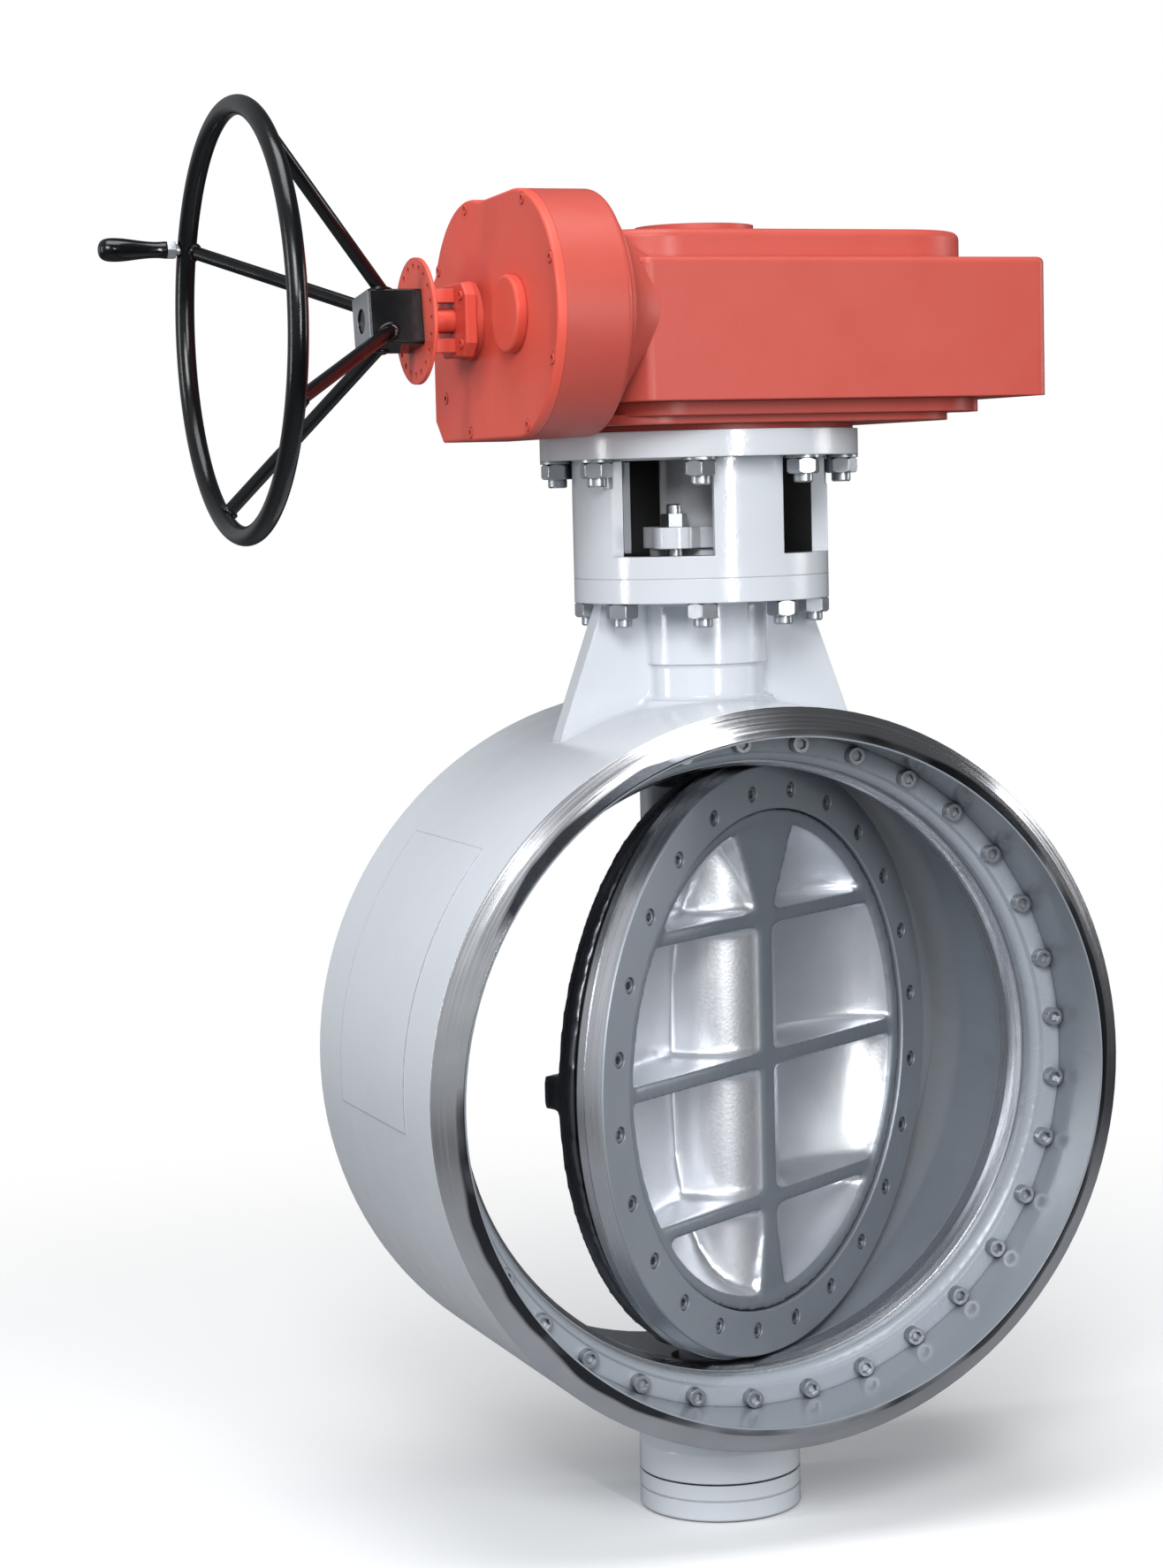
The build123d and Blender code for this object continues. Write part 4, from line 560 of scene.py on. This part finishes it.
for circle_name, circle_r in NUT_CIRCLES:
    height = (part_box(circle_name)[0].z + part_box(circle_name)[1].z) / 2
    deselect()
    for place_number in range(NUTS_ROUND):
        around = radians(FIRST_NUT + 360 / NUTS_ROUND * place_number)
        twist = radians(30 + 4 * sin(5.1 * place_number + 90 * circle_r))
        one = bpy.data.objects.new(f"{circle_name}_{place_number}", nut.data.copy())
        scene.collection.objects.link(one)
        one.location = (circle_r * cos(around), circle_r * sin(around), height)
        one.rotation_euler = (0, 0, around + twist)
        one.select_set(True)
        bpy.context.view_layer.objects.active = one
    bpy.ops.object.join()
    bpy.ops.object.transform_apply(location=True, rotation=True, scale=True)
    ring_of_nuts = bpy.context.object
    ring_of_nuts.name = f"chamfered_{circle_name}"
    ring_of_nuts.data.materials.clear()
    ring_of_nuts.data.materials.append(zinc)
    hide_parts(circle_name)
    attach(ring_of_nuts, "root")
bpy.data.objects.remove(nut)

# ---- Gearbox: cast iron shells in red enamel
# Worm stage and spur stage castings and their covers, painted together with their screws,
# so the same red runs over everything, a soft gloss with a slow wave.
RED = ("#B65046", "#AE483E", 0.40)
FRESH_RED = ("#DB5848", "#D35042", 0.40)
FRESH_SHEEN = {"peel": 0.15, "shine": 0.3}
red_enamel = finish("red_enamel_on_cast_iron", enamel, *RED, peel=0.2, shine=0.3)
put_on(red_enamel, "gearbox_base", "gearbox_housing", "gearbox_cover", "spur_case",
       "gearbox_cover_screws")
# the machined end cover, its caps and the index plate took the paint more brightly
fresh_red = finish("red_enamel_on_machined_covers", enamel, *FRESH_RED, **FRESH_SHEEN)
put_on(fresh_red, "spur_case_cover", "input_bearing_cap", "worm_end_cap", "lock_posts",
       "index_plate", "spur_case_screws", "input_cap_screws")

# The input shaft was painted with the gearbox; only its end in the hub is bare.
hub_low, hub_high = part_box("handwheel_hub")
shaft_paint, tree = paint_tree("red_enamel_and_bare_shaft_end")
shaft_x = add(tree, "ShaderNodeSeparateXYZ", links={0: surface_spot(tree)}).outputs["X"]
in_hub = mask(tree, shaft_x, hub_high.x, hub_high.x - PAINT_EDGE)
close_tree(tree, two_finishes(tree, in_hub, enamel(tree, *FRESH_RED, **FRESH_SHEEN),
                              metal(tree, "#6E7277", "#4D5054", 0.35, 1.5)))
put_on(shaft_paint, "input_shaft")

# ---- Position pointer and its window
# A small painted pointer turns with the stem under a clear moulded window.
put_on(finish("pointer_white_paint", metal, "#E9E9E4", "#D8D8D2", 0.45, 2.0, metallic=0.0),
       "position_pointer")
window_stuff, tree = paint_tree("moulded_polycarbonate")
haze = noise(tree, surface_spot(tree), 9)
window_shader = add(tree, "ShaderNodeBsdfPrincipled",
                    values={"Base Color": linear("#E6ECEC"), "IOR": 1.58,
                            "Transmission Weight": 0.85},
                    links={"Roughness": mask(tree, haze, 0.0, 1.0, 0.16, 0.05)})
close_tree(tree, window_shader)
put_on(window_stuff, "indicator_window")

# ---- Handwheel: steel tube rim, four rod spokes and a square hub in black gloss enamel
# The tube is bent to a ring and welded, the spokes run back to the hub, and the hub's cut
# end stayed bare after painting.
BLACK = ("#0C0E11", "#08090B", 0.16)
BLACK_SHEEN = {"peel": 0.12, "shine": 0.35}
HUB_CUT_DEPTH = (0.0006, 0.0003)    # where the paint gives way to the hub's bare end
black_enamel = finish("black_enamel_on_tube", enamel, *BLACK, **BLACK_SHEEN)
put_on(black_enamel, "handwheel_rim", "handwheel_spokes", "handwheel_grip")
hub_paint, tree = paint_tree("black_enamel_and_bare_hub_end")
hub_x = add(tree, "ShaderNodeSeparateXYZ", links={0: surface_spot(tree)}).outputs["X"]
at_cut = mask(tree, hub_x, *(hub_low.x + depth for depth in HUB_CUT_DEPTH))
close_tree(tree, two_finishes(tree, at_cut, enamel(tree, *BLACK, **BLACK_SHEEN),
                              metal(tree, "#C6C9CE", "#A4A8AE", 0.40, 1.5)))
put_on(hub_paint, "handwheel_hub")

# Weld beads close every spoke to the rim and to the hub, slightly uneven, painted over.
SPOKE_START = 23.7          # degrees round the wheel's axis
SPOKE_RUN = Vector((-0.6296, 0.7768))   # a spoke's direction: along the axis, then outwards
SPOKE_FOOT = (-0.346, 0.020)            # where it starts: along the axis, then outwards
HUB_TURN = -8.0             # degrees the square hub is turned by
HUB_HALF = 0.028
RIM_WELD_BACK = 0.0102      # from the tube's centre line back along the spoke
BEAD_R = 0.0072
BEAD_THICK_R = 0.0027
BEAD_UNEVEN = 0.0005
rim_low, rim_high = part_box("handwheel_rim")
wheel_y = (rim_low.y + rim_high.y) / 2
wheel_z = (rim_low.z + rim_high.z) / 2
rim_x = (rim_low.x + rim_high.x) / 2
rim_r = (rim_high.z - rim_low.z) / 2 - (rim_high.x - rim_low.x) / 2


def bead(name, spot, rise, along, stretch, seed):
    """A weld bead round a spoke: a thick ring in the plane square to rise, long along it."""
    deselect()
    bpy.ops.mesh.primitive_torus_add(major_segments=28, minor_segments=10, major_radius=BEAD_R,
                                     minor_radius=BEAD_THICK_R)
    ring = bpy.context.object
    ring.name = name
    bpy.ops.object.mode_set(mode="EDIT")
    bpy.ops.mesh.select_all(action="SELECT")
    bpy.ops.transform.vertex_random(offset=BEAD_UNEVEN, seed=seed)
    bpy.ops.transform.resize(value=(stretch, 1.0, 1.0))
    bpy.ops.object.mode_set(mode="OBJECT")
    bpy.ops.object.shade_smooth()
    across = rise.cross(along)
    ring.matrix_world = Matrix(((*along, 0), (*across, 0), (*rise, 0), (*spot, 1))).transposed()
    bpy.ops.object.transform_apply(location=True, rotation=True, scale=True)
    ring.data.materials.append(black_enamel)
    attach(ring, "handwheel")


for spoke in range(4):
    theta = radians(SPOKE_START + 90 * spoke)
    radial = Vector((0, cos(theta), sin(theta)))
    run = Vector((SPOKE_RUN[0], 0, 0)) + radial * SPOKE_RUN[1]
    rim_spot = Vector((rim_x, wheel_y, wheel_z)) + radial * rim_r - run * RIM_WELD_BACK
    bead(f"rim_weld_{spoke}", rim_spot, run, run.orthogonal().normalized(), 1.0, spoke)
    face_turn = radians(HUB_TURN + 90 * spoke)
    face = Vector((0, cos(face_turn), sin(face_turn)))
    foot = Vector((SPOKE_FOOT[0], wheel_y, wheel_z)) + radial * SPOKE_FOOT[1]
    reach = (HUB_HALF - (foot - Vector((foot.x, wheel_y, wheel_z))).dot(face)) / run.dot(face)
    slant = (run - face * run.dot(face)).normalized()
    bead(f"hub_weld_{spoke}", foot + run * reach, face, slant, 1 / run.dot(face), spoke + 7)

deselect()
